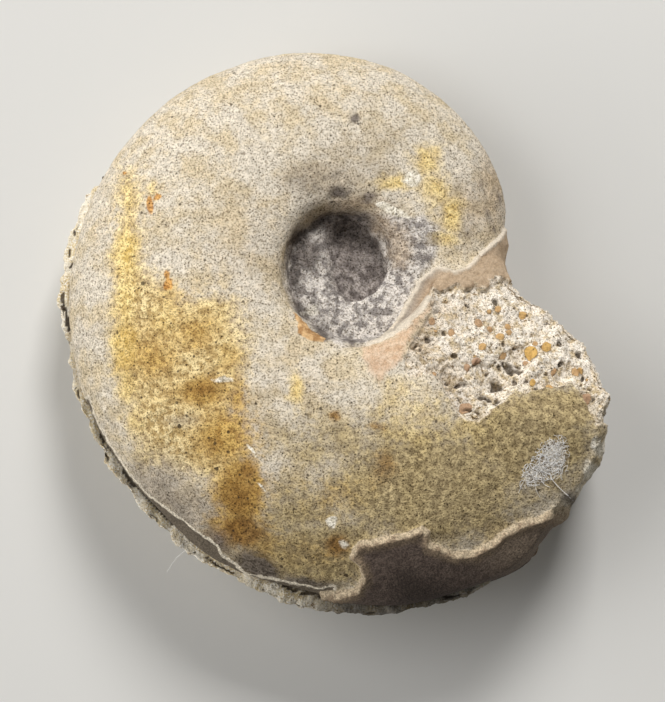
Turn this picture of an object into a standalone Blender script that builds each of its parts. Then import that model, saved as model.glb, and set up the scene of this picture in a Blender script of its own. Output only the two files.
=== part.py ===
"""Fossil ammonite: the limestone cast of a coiled shell, lying on its back flank.

The coil is worked out in its own frame, in millimetres, with the axis of the coil along Z and the
shown flank towards +Z. Angles are in degrees, counter-clockwise seen from that flank, with 0 at +X,
and they go on growing from one turn of the shell to the next. The finished mesh is then tipped a
little, because the mouth side of the shell is the thicker one, and is scaled to metres.
"""

import math

import bmesh
import bpy
import numpy as np
from mathutils import Matrix, Vector, noise

MM = 0.001
TURN = 360

# Radius of the outer spiral and of the umbilical seam at each quarter of the last turn, and how
# much each turn before it grew.
QUARTER_RADII = (19.5, 26.3, 33.2, 40.2, 47.0)
QUARTER_SEAMS = (4.6, 5.9, 6.8, 9.5, 11.2)
EARLY_GROWTH = 2.5
FIRST_ANGLE = -480
STEPS_PER_TURN = 60

# Broken mouth: angle and radius of the outline where the rock broke off.
BREAK_OUTLINE = (
    (276, 40.9),
    (284, 41.0),
    (296, 41.0),
    (302, 40.7),
    (308, 38.9),
    (314, 39.1),
    (320, 38.3),
    (326, 37.0),
    (332, 35.5),
    (336, 32.8),
    (341, 29.8),
    (345, 25.2),
    (349, 21.9),
    (353, 20.3),
    (357, 19.7),
    (360, 19.55),
)
BREAK_CLIFF_START = 294
BREAK_CLIFF_WIDTH = 2.2
BREAK_CLIFF_HEIGHT = 10.0

# Half of a whorl's section, as fractions of its outer radius: distance from the axis of the coil,
# and half of the thickness there. It starts at the umbilical seam and ends at the venter.
HALF_SECTION = (
    (0.236, 0.105),
    (0.242, 0.150),
    (0.252, 0.196),
    (0.268, 0.232),
    (0.296, 0.257),
    (0.336, 0.272),
    (0.390, 0.281),
    (0.460, 0.284),
    (0.535, 0.280),
    (0.615, 0.269),
    (0.700, 0.250),
    (0.775, 0.224),
    (0.840, 0.191),
    (0.895, 0.152),
    (0.940, 0.112),
    (0.972, 0.071),
    (0.992, 0.034),
    (1.000, 0.000),
)
SEAM = HALF_SECTION[0][0]
NEXT_SEAM_INDEX = 9
VENTER_INDEX = len(HALF_SECTION) - 1
FRACTIONS = [fraction for fraction, height in HALF_SECTION]
HEIGHTS = [height for fraction, height in HALF_SECTION]

# Broken face of coarse rock at the mouth: a slope that falls away from a ridge on the flank.
FRACTURE_START = 285
FRACTURE_LEVEL = 8.3
FRACTURE_SLOPE_X = -0.24
FRACTURE_SLOPE_Y = -0.41
FRACTURE_ROUGHNESS = 0.6
FRACTURE_GRAIN = 2.6
SHELL_THICKNESS = 0.35
MERGE_START = 325

# Hollows of the broken face: x, y, radius, depth.
FRACTURE_HOLLOWS = (
    (14.8, -17.2, 2.6, 1.7),
    (18.0, -15.2, 1.8, 1.2),
    (12.4, -14.6, 1.8, 0.9),
    (20.3, -12.4, 1.5, 1.0),
    (26.3, -14.2, 1.2, 0.9),
    (16.2, -14.2, 1.2, 0.7),
    (10.8, -5.4, 1.0, 0.6),
    (15.2, -4.6, 0.9, 0.5),
)

# Rock left on the back: it fills the umbilicus and stands out as a rim along the venter.
MATRIX_STEPS = 60
MATRIX_FRACTIONS = (0.14, 0.28, 0.42, 0.56, 0.70, 0.82, 0.91, 0.965, 1.0)
MATRIX_RIM_START = 156
MATRIX_RIM_END = 312
MATRIX_OVERHANG = (
    (156, -1.3),
    (164, 0.9),
    (172, 1.3),
    (188, 1.3),
    (193, 0.9),
    (205, 0.7),
    (222, 0.9),
    (245, 1.4),
    (262, 1.8),
    (276, 1.2),
    (300, 0.6),
    (312, -1.3),
)
MATRIX_RIM_RAMP = 9
MATRIX_COVER = 0.9
MATRIX_HIDDEN = -1.3
MATRIX_FILL_DEPTH = 11.2
MATRIX_FILL_REACH = 0.42
MATRIX_TOP = 0.9
MATRIX_RIM_DEPTH = 2.8
MATRIX_ROUGHNESS = 0.55
MATRIX_GRAIN = 3.0

# Remains of the shell on the shown side: outlines in x and y, and the stretch of whorl they lie on.
DARK_SHELL_OUTLINE = (
    (-3.2, -41.0),
    (-0.7, -40.0),
    (1.1, -39.2),
    (1.7, -38.2),
    (1.5, -37.1),
    (0.6, -35.9),
    (0.8, -34.9),
    (1.5, -33.9),
    (3.1, -33.7),
    (7.7, -32.7),
    (9.2, -32.0),
    (10.2, -32.7),
    (10.4, -33.9),
    (13.3, -35.1),
    (15.3, -34.9),
    (19.0, -32.5),
    (23.2, -30.7),
    (25.4, -29.7),
    (27.3, -29.6),
    (33.0, -31.0),
    (26.0, -44.0),
    (-3.0, -47.0),
)
DARK_SHELL_ANGLES = (252, 324)
DARK_SHELL_INDICES = (9, VENTER_INDEX)
DARK_SHELL_STEP = 0.55
TAN_SHELL_OUTLINE = (
    (2.4, -9.6),
    (4.1, -9.0),
    (5.6, -7.8),
    (6.6, -6.2),
    (7.6, -4.5),
    (8.3, -3.3),
    (8.9, -2.1),
    (9.8, -1.3),
    (11.0, -0.5),
    (12.0, -0.6),
    (13.2, -0.9),
    (14.5, -0.5),
    (15.6, 0.7),
    (16.5, 1.7),
    (17.6, 3.1),
    (18.8, 4.3),
    (21.0, 5.0),
    (21.0, -1.5),
    (14.0, -3.6),
    (10.4, -5.6),
    (5.0, -9.6),
)
TAN_SHELL_ANGLES = (-84, 24)
TAN_SHELL_INDICES = (5, VENTER_INDEX)
SHELL_SHEET = 2.0
OUTLINE_LOW = -1.5
OUTLINE_HIGH = 16.0

# How the fossil lies: tip of the coil's plane, height of its centre, and the point of the coil's
# frame that stands over the origin, in the middle of the flat spot.
TIP = 6.0
CENTRE_HEIGHT = 10.1
FLAT_CENTRE = (-3.0, -10.0)
GROUND_SIZE = 120.0
GROUND_DEPTH = 20.0

STONE_COLOUR = (0.55, 0.47, 0.36, 1.0)
STONE_ROUGHNESS = 0.9


def clear_scene():
    """Remove whatever the new file holds."""
    for obj in list(bpy.data.objects):
        bpy.data.objects.remove(obj, do_unlink=True)


def make_collection(name):
    """A new collection in the scene."""
    collection = bpy.data.collections.new(name)
    bpy.context.scene.collection.children.link(collection)
    return collection


def make_material(name, colour, roughness):
    """A plain Principled material."""
    material = bpy.data.materials.new(name)
    material.use_nodes = True
    shader = material.node_tree.nodes["Principled BSDF"]
    shader.inputs["Base Color"].default_value = colour
    shader.inputs["Roughness"].default_value = roughness
    shader.inputs["Metallic"].default_value = 0.0
    return material


def smooth_ramp(value, start, end):
    """0 before start, 1 after end, and an even curve between."""
    t = min(max((value - start) / (end - start), 0.0), 1.0)
    return t * t * (3.0 - 2.0 * t)


def blend(first, second, share):
    """A value between first and second."""
    return first + (second - first) * share


def spiral_radius(quarter_radii, angle):
    """Radius of a spiral through its radii at each quarter, with an even growth before them."""
    if angle <= 0:
        return quarter_radii[0] * EARLY_GROWTH ** (angle / TURN)
    logs = [math.log(radius) for radius in quarter_radii]
    logs.insert(0, logs[0] - math.log(EARLY_GROWTH) / 4)
    logs.append(2 * logs[-1] - logs[-2])
    quarter = min(int(angle // 90), 3)
    t = angle / 90 - quarter
    before, start, end, after = logs[quarter : quarter + 4]
    curve = (
        2 * start
        + (end - before) * t
        + (2 * before - 5 * start + 4 * end - after) * t**2
        + (3 * start - before - 3 * end + after) * t**3
    )
    return math.exp(curve / 2)


def natural_radius(angle):
    """Radius of the unbroken outer spiral."""
    return spiral_radius(QUARTER_RADII, angle)


def seam_radius(angle):
    """Radius of the umbilical seam, where a whorl meets the one before."""
    return spiral_radius(QUARTER_SEAMS, angle)


def outline_radius(angle):
    """Radius of the outline as it is now, with the mouth broken off."""
    radius = natural_radius(angle)
    if angle < BREAK_OUTLINE[0][0]:
        return radius
    angles, radii = zip(*BREAK_OUTLINE)
    return min(radius, float(np.interp(angle, angles, radii)))


def section_height(fraction):
    """Half-thickness of a whorl at a fraction of its outer radius, as a fraction of that radius."""
    return float(np.interp(fraction, FRACTIONS, HEIGHTS))


def flank_height(radius, angle):
    """Height of the unbroken flank over the middle plane."""
    spiral = natural_radius(angle)
    seam = seam_radius(angle)
    share = (radius - seam) / (spiral - seam)
    return spiral * section_height(SEAM + share * (1.0 - SEAM))


def polar(radius, angle, height):
    """A point of the coil's frame."""
    turn = math.radians(angle)
    return Vector((radius * math.cos(turn), radius * math.sin(turn), height))


def fracture_height(radius, angle):
    """Height of the broken face, which never cuts into the whorl before."""
    place = polar(radius, angle, 0.0)
    level = FRACTURE_LEVEL + FRACTURE_SLOPE_X * place.x + FRACTURE_SLOPE_Y * place.y
    for x, y, reach, depth in FRACTURE_HOLLOWS:
        distance = math.hypot(place.x - x, place.y - y)
        level -= depth * math.exp(-((distance / reach) ** 2))
    if radius < natural_radius(angle - TURN):
        level = max(level, flank_height(radius, angle - TURN) + SHELL_THICKNESS)
    return level


def cliff_height(radius, angle):
    """Height of the steep broken edge near the outline at the mouth."""
    outline = outline_radius(angle)
    inward = (radius - (outline - BREAK_CLIFF_WIDTH)) / BREAK_CLIFF_WIDTH
    if inward <= 0:
        return math.inf
    return BREAK_CLIFF_HEIGHT * math.sqrt(max(0.0, 1.0 - inward**2))


def surface_height(radius, angle):
    """Half-thickness of the last whorl, with the broken mouth."""
    height = flank_height(radius, angle)
    if angle >= BREAK_CLIFF_START:
        height = min(height, cliff_height(radius, angle))
    if angle >= FRACTURE_START:
        height = min(height, fracture_height(radius, angle))
    return height


def half_ring(angle):
    """Radius and height of the section points that show at this angle, from the seam outwards."""
    spiral = natural_radius(angle)
    seam = seam_radius(angle)
    next_seam = seam_radius(angle + TURN)
    if angle < 0:
        radii = [fraction * spiral for fraction in FRACTIONS[:NEXT_SEAM_INDEX]]
        radii.append(next_seam)
        return [(radius, flank_height(radius, angle)) for radius in radii]
    outline = outline_radius(angle)
    start_spiral = natural_radius(0)
    start_seam = seam_radius(TURN)
    merging = smooth_ramp(angle, MERGE_START, TURN)
    ring = []
    for index, fraction in enumerate(FRACTIONS):
        share = (fraction - SEAM) / (1.0 - SEAM)
        end_share = max(0.0, fraction * start_spiral - start_seam) / (start_spiral - start_seam)
        if index <= NEXT_SEAM_INDEX:
            end_share = 0.0
        share = blend(share, end_share, merging)
        radius = seam + share * (outline - seam)
        if angle == 0 and index == NEXT_SEAM_INDEX:
            radius = next_seam
        height = 0.0 if index == VENTER_INDEX else surface_height(radius, angle)
        ring.append((radius, height))
    return ring


def build_side(mesh, sign, venters):
    """One side of the coil, as rings of vertices and the faces between them."""
    angles = [
        FIRST_ANGLE + step * TURN / STEPS_PER_TURN
        for step in range((TURN - FIRST_ANGLE) * STEPS_PER_TURN // TURN)
    ]
    rings = []
    for step, angle in enumerate(angles):
        ring = []
        for index, (radius, height) in enumerate(half_ring(angle)):
            if index == 0 and step >= STEPS_PER_TURN:
                ring.append(rings[step - STEPS_PER_TURN][NEXT_SEAM_INDEX])
            elif index == VENTER_INDEX and step in venters:
                ring.append(venters[step])
            else:
                ring.append(mesh.verts.new(polar(radius, angle, sign * height)))
        if len(ring) > VENTER_INDEX:
            venters[step] = ring[VENTER_INDEX]
        rings.append(ring)
    first_full = angles.index(0)
    closing = rings[first_full]
    rings.append([closing[max(index, NEXT_SEAM_INDEX)] for index in range(VENTER_INDEX + 1)])
    for ring, following in zip(rings, rings[1:]):
        for index in range(min(len(ring), len(following)) - 1):
            add_face(mesh, (ring[index], ring[index + 1], following[index + 1], following[index]))
    close_first_turn(mesh, rings, sign)


def add_face(mesh, corners):
    """A face on the corners that differ from each other."""
    unique = list(dict.fromkeys(corners))
    if len(unique) > 2:
        mesh.faces.new(unique)


def close_first_turn(mesh, rings, sign):
    """Close the small hole at the middle of the coil with a fan of faces."""
    loop = [ring[0] for ring in rings[:STEPS_PER_TURN]]
    loop += rings[0][NEXT_SEAM_INDEX:0:-1]
    height = sum(vertex.co.z for vertex in loop) / len(loop)
    middle = mesh.verts.new((0.0, 0.0, height - sign * SHELL_THICKNESS))
    for vertex, following in zip(loop, loop[1:] + loop[:1]):
        add_face(mesh, (vertex, following, middle))


def polar_place(point):
    """Radius of a point and its angle in the last turn."""
    return math.hypot(point.x, point.y), math.degrees(math.atan2(point.y, point.x)) % TURN


def is_fractured(point):
    """Whether a point of the surface lies on the broken face or the broken edge."""
    radius, angle = polar_place(point)
    if angle < FRACTURE_START or radius < seam_radius(angle):
        return False
    if abs(abs(point.z) - fracture_height(radius, angle)) < SHELL_THICKNESS:
        return True
    return angle > BREAK_CLIFF_START and radius > outline_radius(angle) - BREAK_CLIFF_WIDTH


def roughen_fracture(mesh):
    """Split the faces of the broken end once more and push their points in and out."""
    broken = [face for face in mesh.faces if is_fractured(face.calc_center_median())]
    edges = {edge for face in broken for edge in face.edges if edge.calc_length() > FRACTURE_GRAIN / 4}
    bmesh.ops.subdivide_edges(mesh, edges=list(edges), cuts=2, use_grid_fill=True)
    mesh.normal_update()
    moves = []
    for vertex in mesh.verts:
        radius, angle = polar_place(vertex.co)
        if not is_fractured(vertex.co) or radius < seam_radius(angle) + FRACTURE_GRAIN:
            continue
        push = noise.noise(vertex.co / FRACTURE_GRAIN) * FRACTURE_ROUGHNESS
        push += noise.noise(vertex.co * 2.3 / FRACTURE_GRAIN) * FRACTURE_ROUGHNESS / 2
        moves.append((vertex, vertex.normal * push))
    for vertex, move in moves:
        vertex.co += move


def finish_mesh(name, mesh, collection, material):
    """Turn a mesh of the coil's frame into an object that lies on the ground, in metres."""
    bmesh.ops.recalc_face_normals(mesh, faces=mesh.faces)
    tip = Matrix.Rotation(math.radians(-TIP), 4, "X")
    shift = tip @ Vector((FLAT_CENTRE[0], FLAT_CENTRE[1], 0.0))
    lift = Matrix.Translation((-shift.x, -shift.y, CENTRE_HEIGHT))
    mesh.transform(Matrix.Scale(MM, 4) @ lift @ tip)
    data = bpy.data.meshes.new(name)
    mesh.to_mesh(data)
    mesh.free()
    data.materials.append(material)
    obj = bpy.data.objects.new(name, data)
    collection.objects.link(obj)
    return obj


def build_coil(collection, material):
    """The coiled cast itself."""
    mesh = bmesh.new()
    venters = {}
    build_side(mesh, 1, venters)
    build_side(mesh, -1, venters)
    bmesh.ops.recalc_face_normals(mesh, faces=mesh.faces)
    roughen_fracture(mesh)
    return finish_mesh("ammonite", mesh, collection, material)


def matrix_rim(angle):
    """How far the rock on the back takes part at this angle, from 0 to 1."""
    rising = smooth_ramp(angle, MATRIX_RIM_START, MATRIX_RIM_START + MATRIX_RIM_RAMP)
    falling = smooth_ramp(angle, MATRIX_RIM_END - MATRIX_RIM_RAMP, MATRIX_RIM_END)
    return rising * (1.0 - falling)


def matrix_overhang(angle):
    """How far the rock on the back stands out past the venter."""
    angles, widths = zip(*MATRIX_OVERHANG)
    place = polar(1.0, angle, 0.0)
    ragged = 0.4 * noise.noise(place * 6.0) + 0.3 * noise.noise(place * 17.0)
    return float(np.interp(angle, angles, widths)) + ragged * matrix_rim(angle)


def matrix_depth(fraction, angle):
    """Depth of the rock's outer face under the middle plane of the coil."""
    radius = outline_radius(angle)
    height = radius * section_height(fraction)
    if angle >= FRACTURE_START:
        height = surface_height(fraction * radius, angle)
    height = max(height, radius * section_height(MATRIX_FILL_REACH) if fraction < 0.42 else 0.0)
    rim = matrix_rim(angle)
    place = polar(fraction * radius, angle, 0.0) / MATRIX_GRAIN
    lumps = noise.noise(place) + 0.5 * noise.noise(place * 2.1)
    depth = height + blend(MATRIX_HIDDEN, MATRIX_COVER, rim) + MATRIX_ROUGHNESS * lumps
    depth = max(depth, MATRIX_RIM_DEPTH * rim)
    filled = 1.0 - smooth_ramp(fraction, MATRIX_FILL_REACH / 2, MATRIX_FILL_REACH)
    return blend(depth, max(depth, MATRIX_FILL_DEPTH), filled)


def build_matrix(collection, material):
    """The rock that is left on the back, as one lens with a blunt edge."""
    mesh = bmesh.new()
    rings = []
    for step in range(MATRIX_STEPS):
        angle = step * TURN / MATRIX_STEPS
        edge = outline_radius(angle) + matrix_overhang(angle)
        ring = [
            mesh.verts.new(polar(fraction * edge, angle, -matrix_depth(fraction, angle)))
            for fraction in MATRIX_FRACTIONS
        ]
        ring.append(mesh.verts.new(polar(edge, angle, -MATRIX_TOP)))
        rings.append(ring)
    bottom = mesh.verts.new((0.0, 0.0, -MATRIX_FILL_DEPTH))
    top = mesh.verts.new((0.0, 0.0, -MATRIX_TOP))
    for ring, following in zip(rings, rings[1:] + rings[:1]):
        mesh.faces.new((bottom, ring[0], following[0]))
        for index in range(len(ring) - 1):
            mesh.faces.new((ring[index], ring[index + 1], following[index + 1], following[index]))
        mesh.faces.new((ring[-1], top, following[-1]))
    return finish_mesh("back_rock", mesh, collection, material)


def build_sheet(name, angle_range, index_range, thickness_out, collection, material):
    """An open stretch of the whorl's surface, thickened to stand out past it."""
    mesh = bmesh.new()
    rings = []
    step = TURN // STEPS_PER_TURN
    for angle in range(angle_range[0], angle_range[1] + step, step):
        points = whorl_section(angle, index_range)
        rings.append([mesh.verts.new(point) for point in points])
    for ring, following in zip(rings, rings[1:]):
        for index in range(len(ring) - 1):
            mesh.faces.new((ring[index], ring[index + 1], following[index + 1], following[index]))
    sheet = finish_mesh(name, mesh, collection, material)
    solidify = sheet.modifiers.new("thickness", "SOLIDIFY")
    solidify.thickness = SHELL_SHEET * MM
    solidify.offset = 2.0 * thickness_out / SHELL_SHEET - 1.0
    return sheet


def whorl_section(angle, index_range):
    """Points of one section of the whorl, from the flank over the venter to the same place behind."""
    first, last = index_range
    spiral = natural_radius(angle)
    outline = outline_radius(angle) if angle > 0 else spiral
    front = []
    for fraction in FRACTIONS[first : last + 1]:
        radius = fraction * outline
        height = surface_height(radius, angle) if angle > 0 else flank_height(radius, angle)
        front.append((radius, 0.0 if fraction == 1.0 else height))
    points = [polar(radius, angle, height) for radius, height in front]
    points += [polar(radius, angle, -height) for radius, height in front[-2:-6:-1]]
    return points


def build_outline(name, outline, collection, material):
    """A prism on an outline of the coil's plane, which limits a remnant of the shell."""
    mesh = bmesh.new()
    low = [mesh.verts.new((x, y, OUTLINE_LOW)) for x, y in outline]
    face = mesh.faces.new(low)
    made = bmesh.ops.extrude_face_region(mesh, geom=[face])["geom"]
    raised = [item for item in made if isinstance(item, bmesh.types.BMVert)]
    bmesh.ops.translate(mesh, verts=raised, vec=(0.0, 0.0, OUTLINE_HIGH - OUTLINE_LOW))
    return finish_mesh(name, mesh, collection, material)


def build_ground(collection, material):
    """A block under the ground, which cuts the flat spot."""
    mesh = bmesh.new()
    size = (GROUND_SIZE, GROUND_SIZE, GROUND_DEPTH)
    bmesh.ops.create_cube(mesh, size=1.0, matrix=Matrix.Diagonal((*size, 1.0)))
    bmesh.ops.translate(mesh, verts=mesh.verts, vec=(0.0, 0.0, -GROUND_DEPTH / 2))
    mesh.transform(Matrix.Scale(MM, 4))
    data = bpy.data.meshes.new("ground_cutter")
    mesh.to_mesh(data)
    mesh.free()
    data.materials.append(material)
    ground = bpy.data.objects.new("ground_cutter", data)
    collection.objects.link(ground)
    return ground


def add_boolean(target, tool, operation):
    """Join, cut or limit the target with a tool, which stays out of the render."""
    modifier = target.modifiers.new(f"{operation.lower()}_{tool.name}", "BOOLEAN")
    modifier.operation = operation
    modifier.solver = "EXACT"
    modifier.object = tool
    tool.hide_render = True
    tool.display_type = "WIRE"


def main():
    """Build the fossil."""
    clear_scene()
    fossil = make_collection("lissoceras_ammonite")
    cutters = make_collection("cutters")
    stone = make_material("fossil_limestone", STONE_COLOUR, STONE_ROUGHNESS)

    ammonite = build_coil(fossil, stone)
    back_rock = build_matrix(cutters, stone)
    dark_shell = build_sheet(
        "dark_shell", DARK_SHELL_ANGLES, DARK_SHELL_INDICES, DARK_SHELL_STEP, cutters, stone
    )
    add_boolean(dark_shell, build_outline("dark_outline", DARK_SHELL_OUTLINE, cutters, stone), "INTERSECT")
    tan_shell = build_sheet(
        "tan_shell", TAN_SHELL_ANGLES, TAN_SHELL_INDICES, SHELL_THICKNESS, cutters, stone
    )
    add_boolean(tan_shell, build_outline("tan_outline", TAN_SHELL_OUTLINE, cutters, stone), "INTERSECT")

    add_boolean(ammonite, back_rock, "UNION")
    add_boolean(ammonite, dark_shell, "UNION")
    add_boolean(ammonite, tan_shell, "UNION")
    add_boolean(ammonite, build_ground(cutters, stone), "DIFFERENCE")
    ammonite.data.shade_smooth()
    ammonite.data.set_sharp_from_angle(angle=math.radians(35))


main()
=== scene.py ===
"""Looks of a fossil ammonite: the limestone cast of a coiled shell that lies on one flank.

The forms are worked out in the coil's own frame, in millimetres: the axis of the coil is Z, the shown
flank faces +Z, and angles are in degrees, counter-clockwise from +X, growing on from turn to turn.
Marks that only show from above are placed in the picture plane: millimetres to the right of the
coil's centre and above it, as the camera sees them.
"""

import logging
import math
from dataclasses import dataclass, field
from enum import Enum

import bpy
import numpy as np
from mathutils import Matrix, Vector
from mathutils.bvhtree import BVHTree


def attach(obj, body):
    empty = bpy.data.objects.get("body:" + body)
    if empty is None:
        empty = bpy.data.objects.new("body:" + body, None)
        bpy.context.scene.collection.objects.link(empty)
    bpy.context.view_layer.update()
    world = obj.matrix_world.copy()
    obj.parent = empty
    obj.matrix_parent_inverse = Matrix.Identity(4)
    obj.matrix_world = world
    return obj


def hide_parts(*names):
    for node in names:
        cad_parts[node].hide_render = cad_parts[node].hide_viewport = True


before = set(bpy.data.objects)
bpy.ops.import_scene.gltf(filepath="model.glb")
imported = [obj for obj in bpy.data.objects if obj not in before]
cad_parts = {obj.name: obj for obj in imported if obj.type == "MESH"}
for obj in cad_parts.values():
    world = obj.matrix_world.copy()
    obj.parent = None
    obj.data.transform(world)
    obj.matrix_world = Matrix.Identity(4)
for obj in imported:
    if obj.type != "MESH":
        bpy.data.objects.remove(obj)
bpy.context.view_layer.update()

log = logging.getLogger("ammonite")

MM = 0.001
TURN = 360.0
QUARTER = 90.0
NODE = "ammonite"
BODY = "root"
SMOOTH_ANGLE = 70.0
NOISE_SEED = 11

Socket = bpy.types.NodeSocket


class Mark(Enum):
    """The fields that a finish reads from the mesh, each an attribute of its points."""

    BROKEN = "broken"
    BAND = "band"
    UMBILICUS = "umbilicus"
    DARK_SHELL = "dark_shell"
    TAN_SHELL = "tan_shell"
    PINK_SHELL = "pink_shell"
    ORANGE_SHELL = "orange_shell"
    STRIP = "strip"
    YELLOW = "yellow"
    OCHRE = "ochre"
    BROWN = "brown"
    OLIVE = "olive"
    GREY = "grey"
    WHITE = "white"
    ORANGE = "orange"
    DUN = "dun"
    SLATE = "slate"
    LINT = "lint"
    WELL = "well"
    PIT = "pit"
    OOID = "ooid"
    HUE = "hue"


def ramp(value: np.ndarray, start: float, end: float) -> np.ndarray:
    """An even curve from 0 at start to 1 at end."""
    t = np.clip((value - start) / (end - start), 0.0, 1.0)
    return t * t * (3.0 - 2.0 * t)


def linear_colour(code: str) -> tuple[float, float, float, float]:
    """The linear colour of an sRGB hex code.

    Args:
        code: Six hex digits, red first.

    Returns:
        Linear red, green and blue, and an alpha of 1.
    """
    channels = [int(code[i : i + 2], 16) / 255 for i in (0, 2, 4)]
    linear = [c / 12.92 if c <= 0.04045 else ((c + 0.055) / 1.055) ** 2.4 for c in channels]
    return (*linear, 1.0)


class StoneNoise:
    """Gradient noise that is worked out for many points at once, the same on each run."""

    DRAWS = 256
    STRENGTH = 1.6
    LAYER_SHIFT = 37.7
    BEAD_STRAY = 0.42

    def __init__(self, seed: int) -> None:
        """Draw the gradients.

        Args:
            seed: Start of the random draws.
        """
        draws = np.random.default_rng(seed)
        vectors = draws.normal(size=(self.DRAWS, 3))
        self.gradients = vectors / np.linalg.norm(vectors, axis=1, keepdims=True)
        self.order = draws.permutation(self.DRAWS)
        self.chances = draws.random(self.DRAWS)

    def at(self, points: np.ndarray, grain: float) -> np.ndarray:
        """Noise of about -1 to 1 at the points.

        Args:
            points: Places, one a row, in millimetres.
            grain: Size of the lumps in millimetres.

        Returns:
            One value a point.
        """
        places = points / grain
        cells = np.floor(places).astype(int)
        inside = places - cells
        ease = inside**3 * (inside * (inside * 6 - 15) + 10)
        total = np.zeros(len(points))
        for corner in range(8):
            step = np.array([corner & 1, corner >> 1 & 1, corner >> 2 & 1])
            pick = self.pick(cells + step)
            slope = np.einsum("ij,ij->i", self.gradients[pick], inside - step)
            weight = np.prod(np.where(step, ease, 1 - ease), axis=1)
            total += slope * weight
        return total * self.STRENGTH

    def pick(self, cells: np.ndarray) -> np.ndarray:
        """The draw that belongs to each cell of space."""
        last = self.DRAWS - 1
        key = cells & last
        return self.order[(self.order[(self.order[key[:, 0]] + key[:, 1]) & last] + key[:, 2]) & last]

    def layers(self, points: np.ndarray, grains: tuple, heights: tuple) -> np.ndarray:
        """Sum of noises of several grains, each with its own height."""
        shift = self.LAYER_SHIFT
        return sum(self.at(points + shift * grain, grain) * height for grain, height in zip(grains, heights))

    def beads(self, points: np.ndarray, spacing: float) -> tuple[np.ndarray, np.ndarray]:
        """The nearest of many beads that are scattered through space.

        Args:
            points: Places, one a row, in millimetres.
            spacing: Usual distance between the beads in millimetres.

        Returns:
            The distance to the nearest bead's middle, as a share of the spacing, and that bead's draw.
        """
        places = points / spacing
        own = np.floor(places).astype(int)
        nearest = np.full(len(points), np.inf)
        chance = np.zeros(len(points))
        for step in np.ndindex(3, 3, 3):
            cells = own + step - 1
            pick = self.pick(cells)
            middles = cells + 0.5 + self.BEAD_STRAY * self.gradients[pick]
            distance = np.linalg.norm(places - middles, axis=1)
            closer = distance < nearest
            nearest = np.where(closer, distance, nearest)
            chance = np.where(closer, self.chances[pick], chance)
        return nearest, chance


def outline_distance(places: np.ndarray, outline: tuple) -> np.ndarray:
    """Distance of places in a plane from a closed outline, positive inside.

    Args:
        places: Places, one a row.
        outline: Corners of the outline in order.

    Returns:
        One distance a place.
    """
    nearest = np.full(len(places), np.inf)
    inside = np.zeros(len(places), dtype=bool)
    corners = np.array(outline, dtype=float)
    for start, end in zip(corners, np.roll(corners, -1, axis=0)):
        along = end - start
        offset = places - start
        share = np.clip(offset @ along / (along @ along), 0.0, 1.0)
        nearest = np.minimum(nearest, np.linalg.norm(offset - share[:, None] * along, axis=1))
        crosses = (start[1] > places[:, 1]) != (end[1] > places[:, 1])
        slope = along[0] / along[1] if along[1] else 0.0
        inside ^= crosses & (places[:, 0] < start[0] + (places[:, 1] - start[1]) * slope)
    return np.where(inside, nearest, -nearest)


def blot_field(places: np.ndarray, blots: tuple) -> np.ndarray:
    """Joint strength of soft round or long patches of the picture plane.

    Args:
        places: Places of the picture plane, one a row.
        blots: For each patch its middle, its half-width and half-height, its strength, and its turn in
            degrees where it has one.

    Returns:
        The strongest patch's share at each place.
    """
    total = np.zeros(len(places))
    for x, y, width, height, strength, *turn in blots:
        angle = math.radians(sum(turn))
        offset = places - (x, y)
        along = offset[:, 0] * math.cos(angle) + offset[:, 1] * math.sin(angle)
        across = offset[:, 1] * math.cos(angle) - offset[:, 0] * math.sin(angle)
        distance = (along / width) ** 2 + (across / height) ** 2
        total = np.maximum(total, strength * np.exp(-distance))
    return total


def dome(distance: np.ndarray, reach: float) -> np.ndarray:
    """A grain's rounded top at a distance from its middle, with the gap between grains sunk."""
    return 0.4 - np.minimum(distance / reach, 1.0) ** 2


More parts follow.
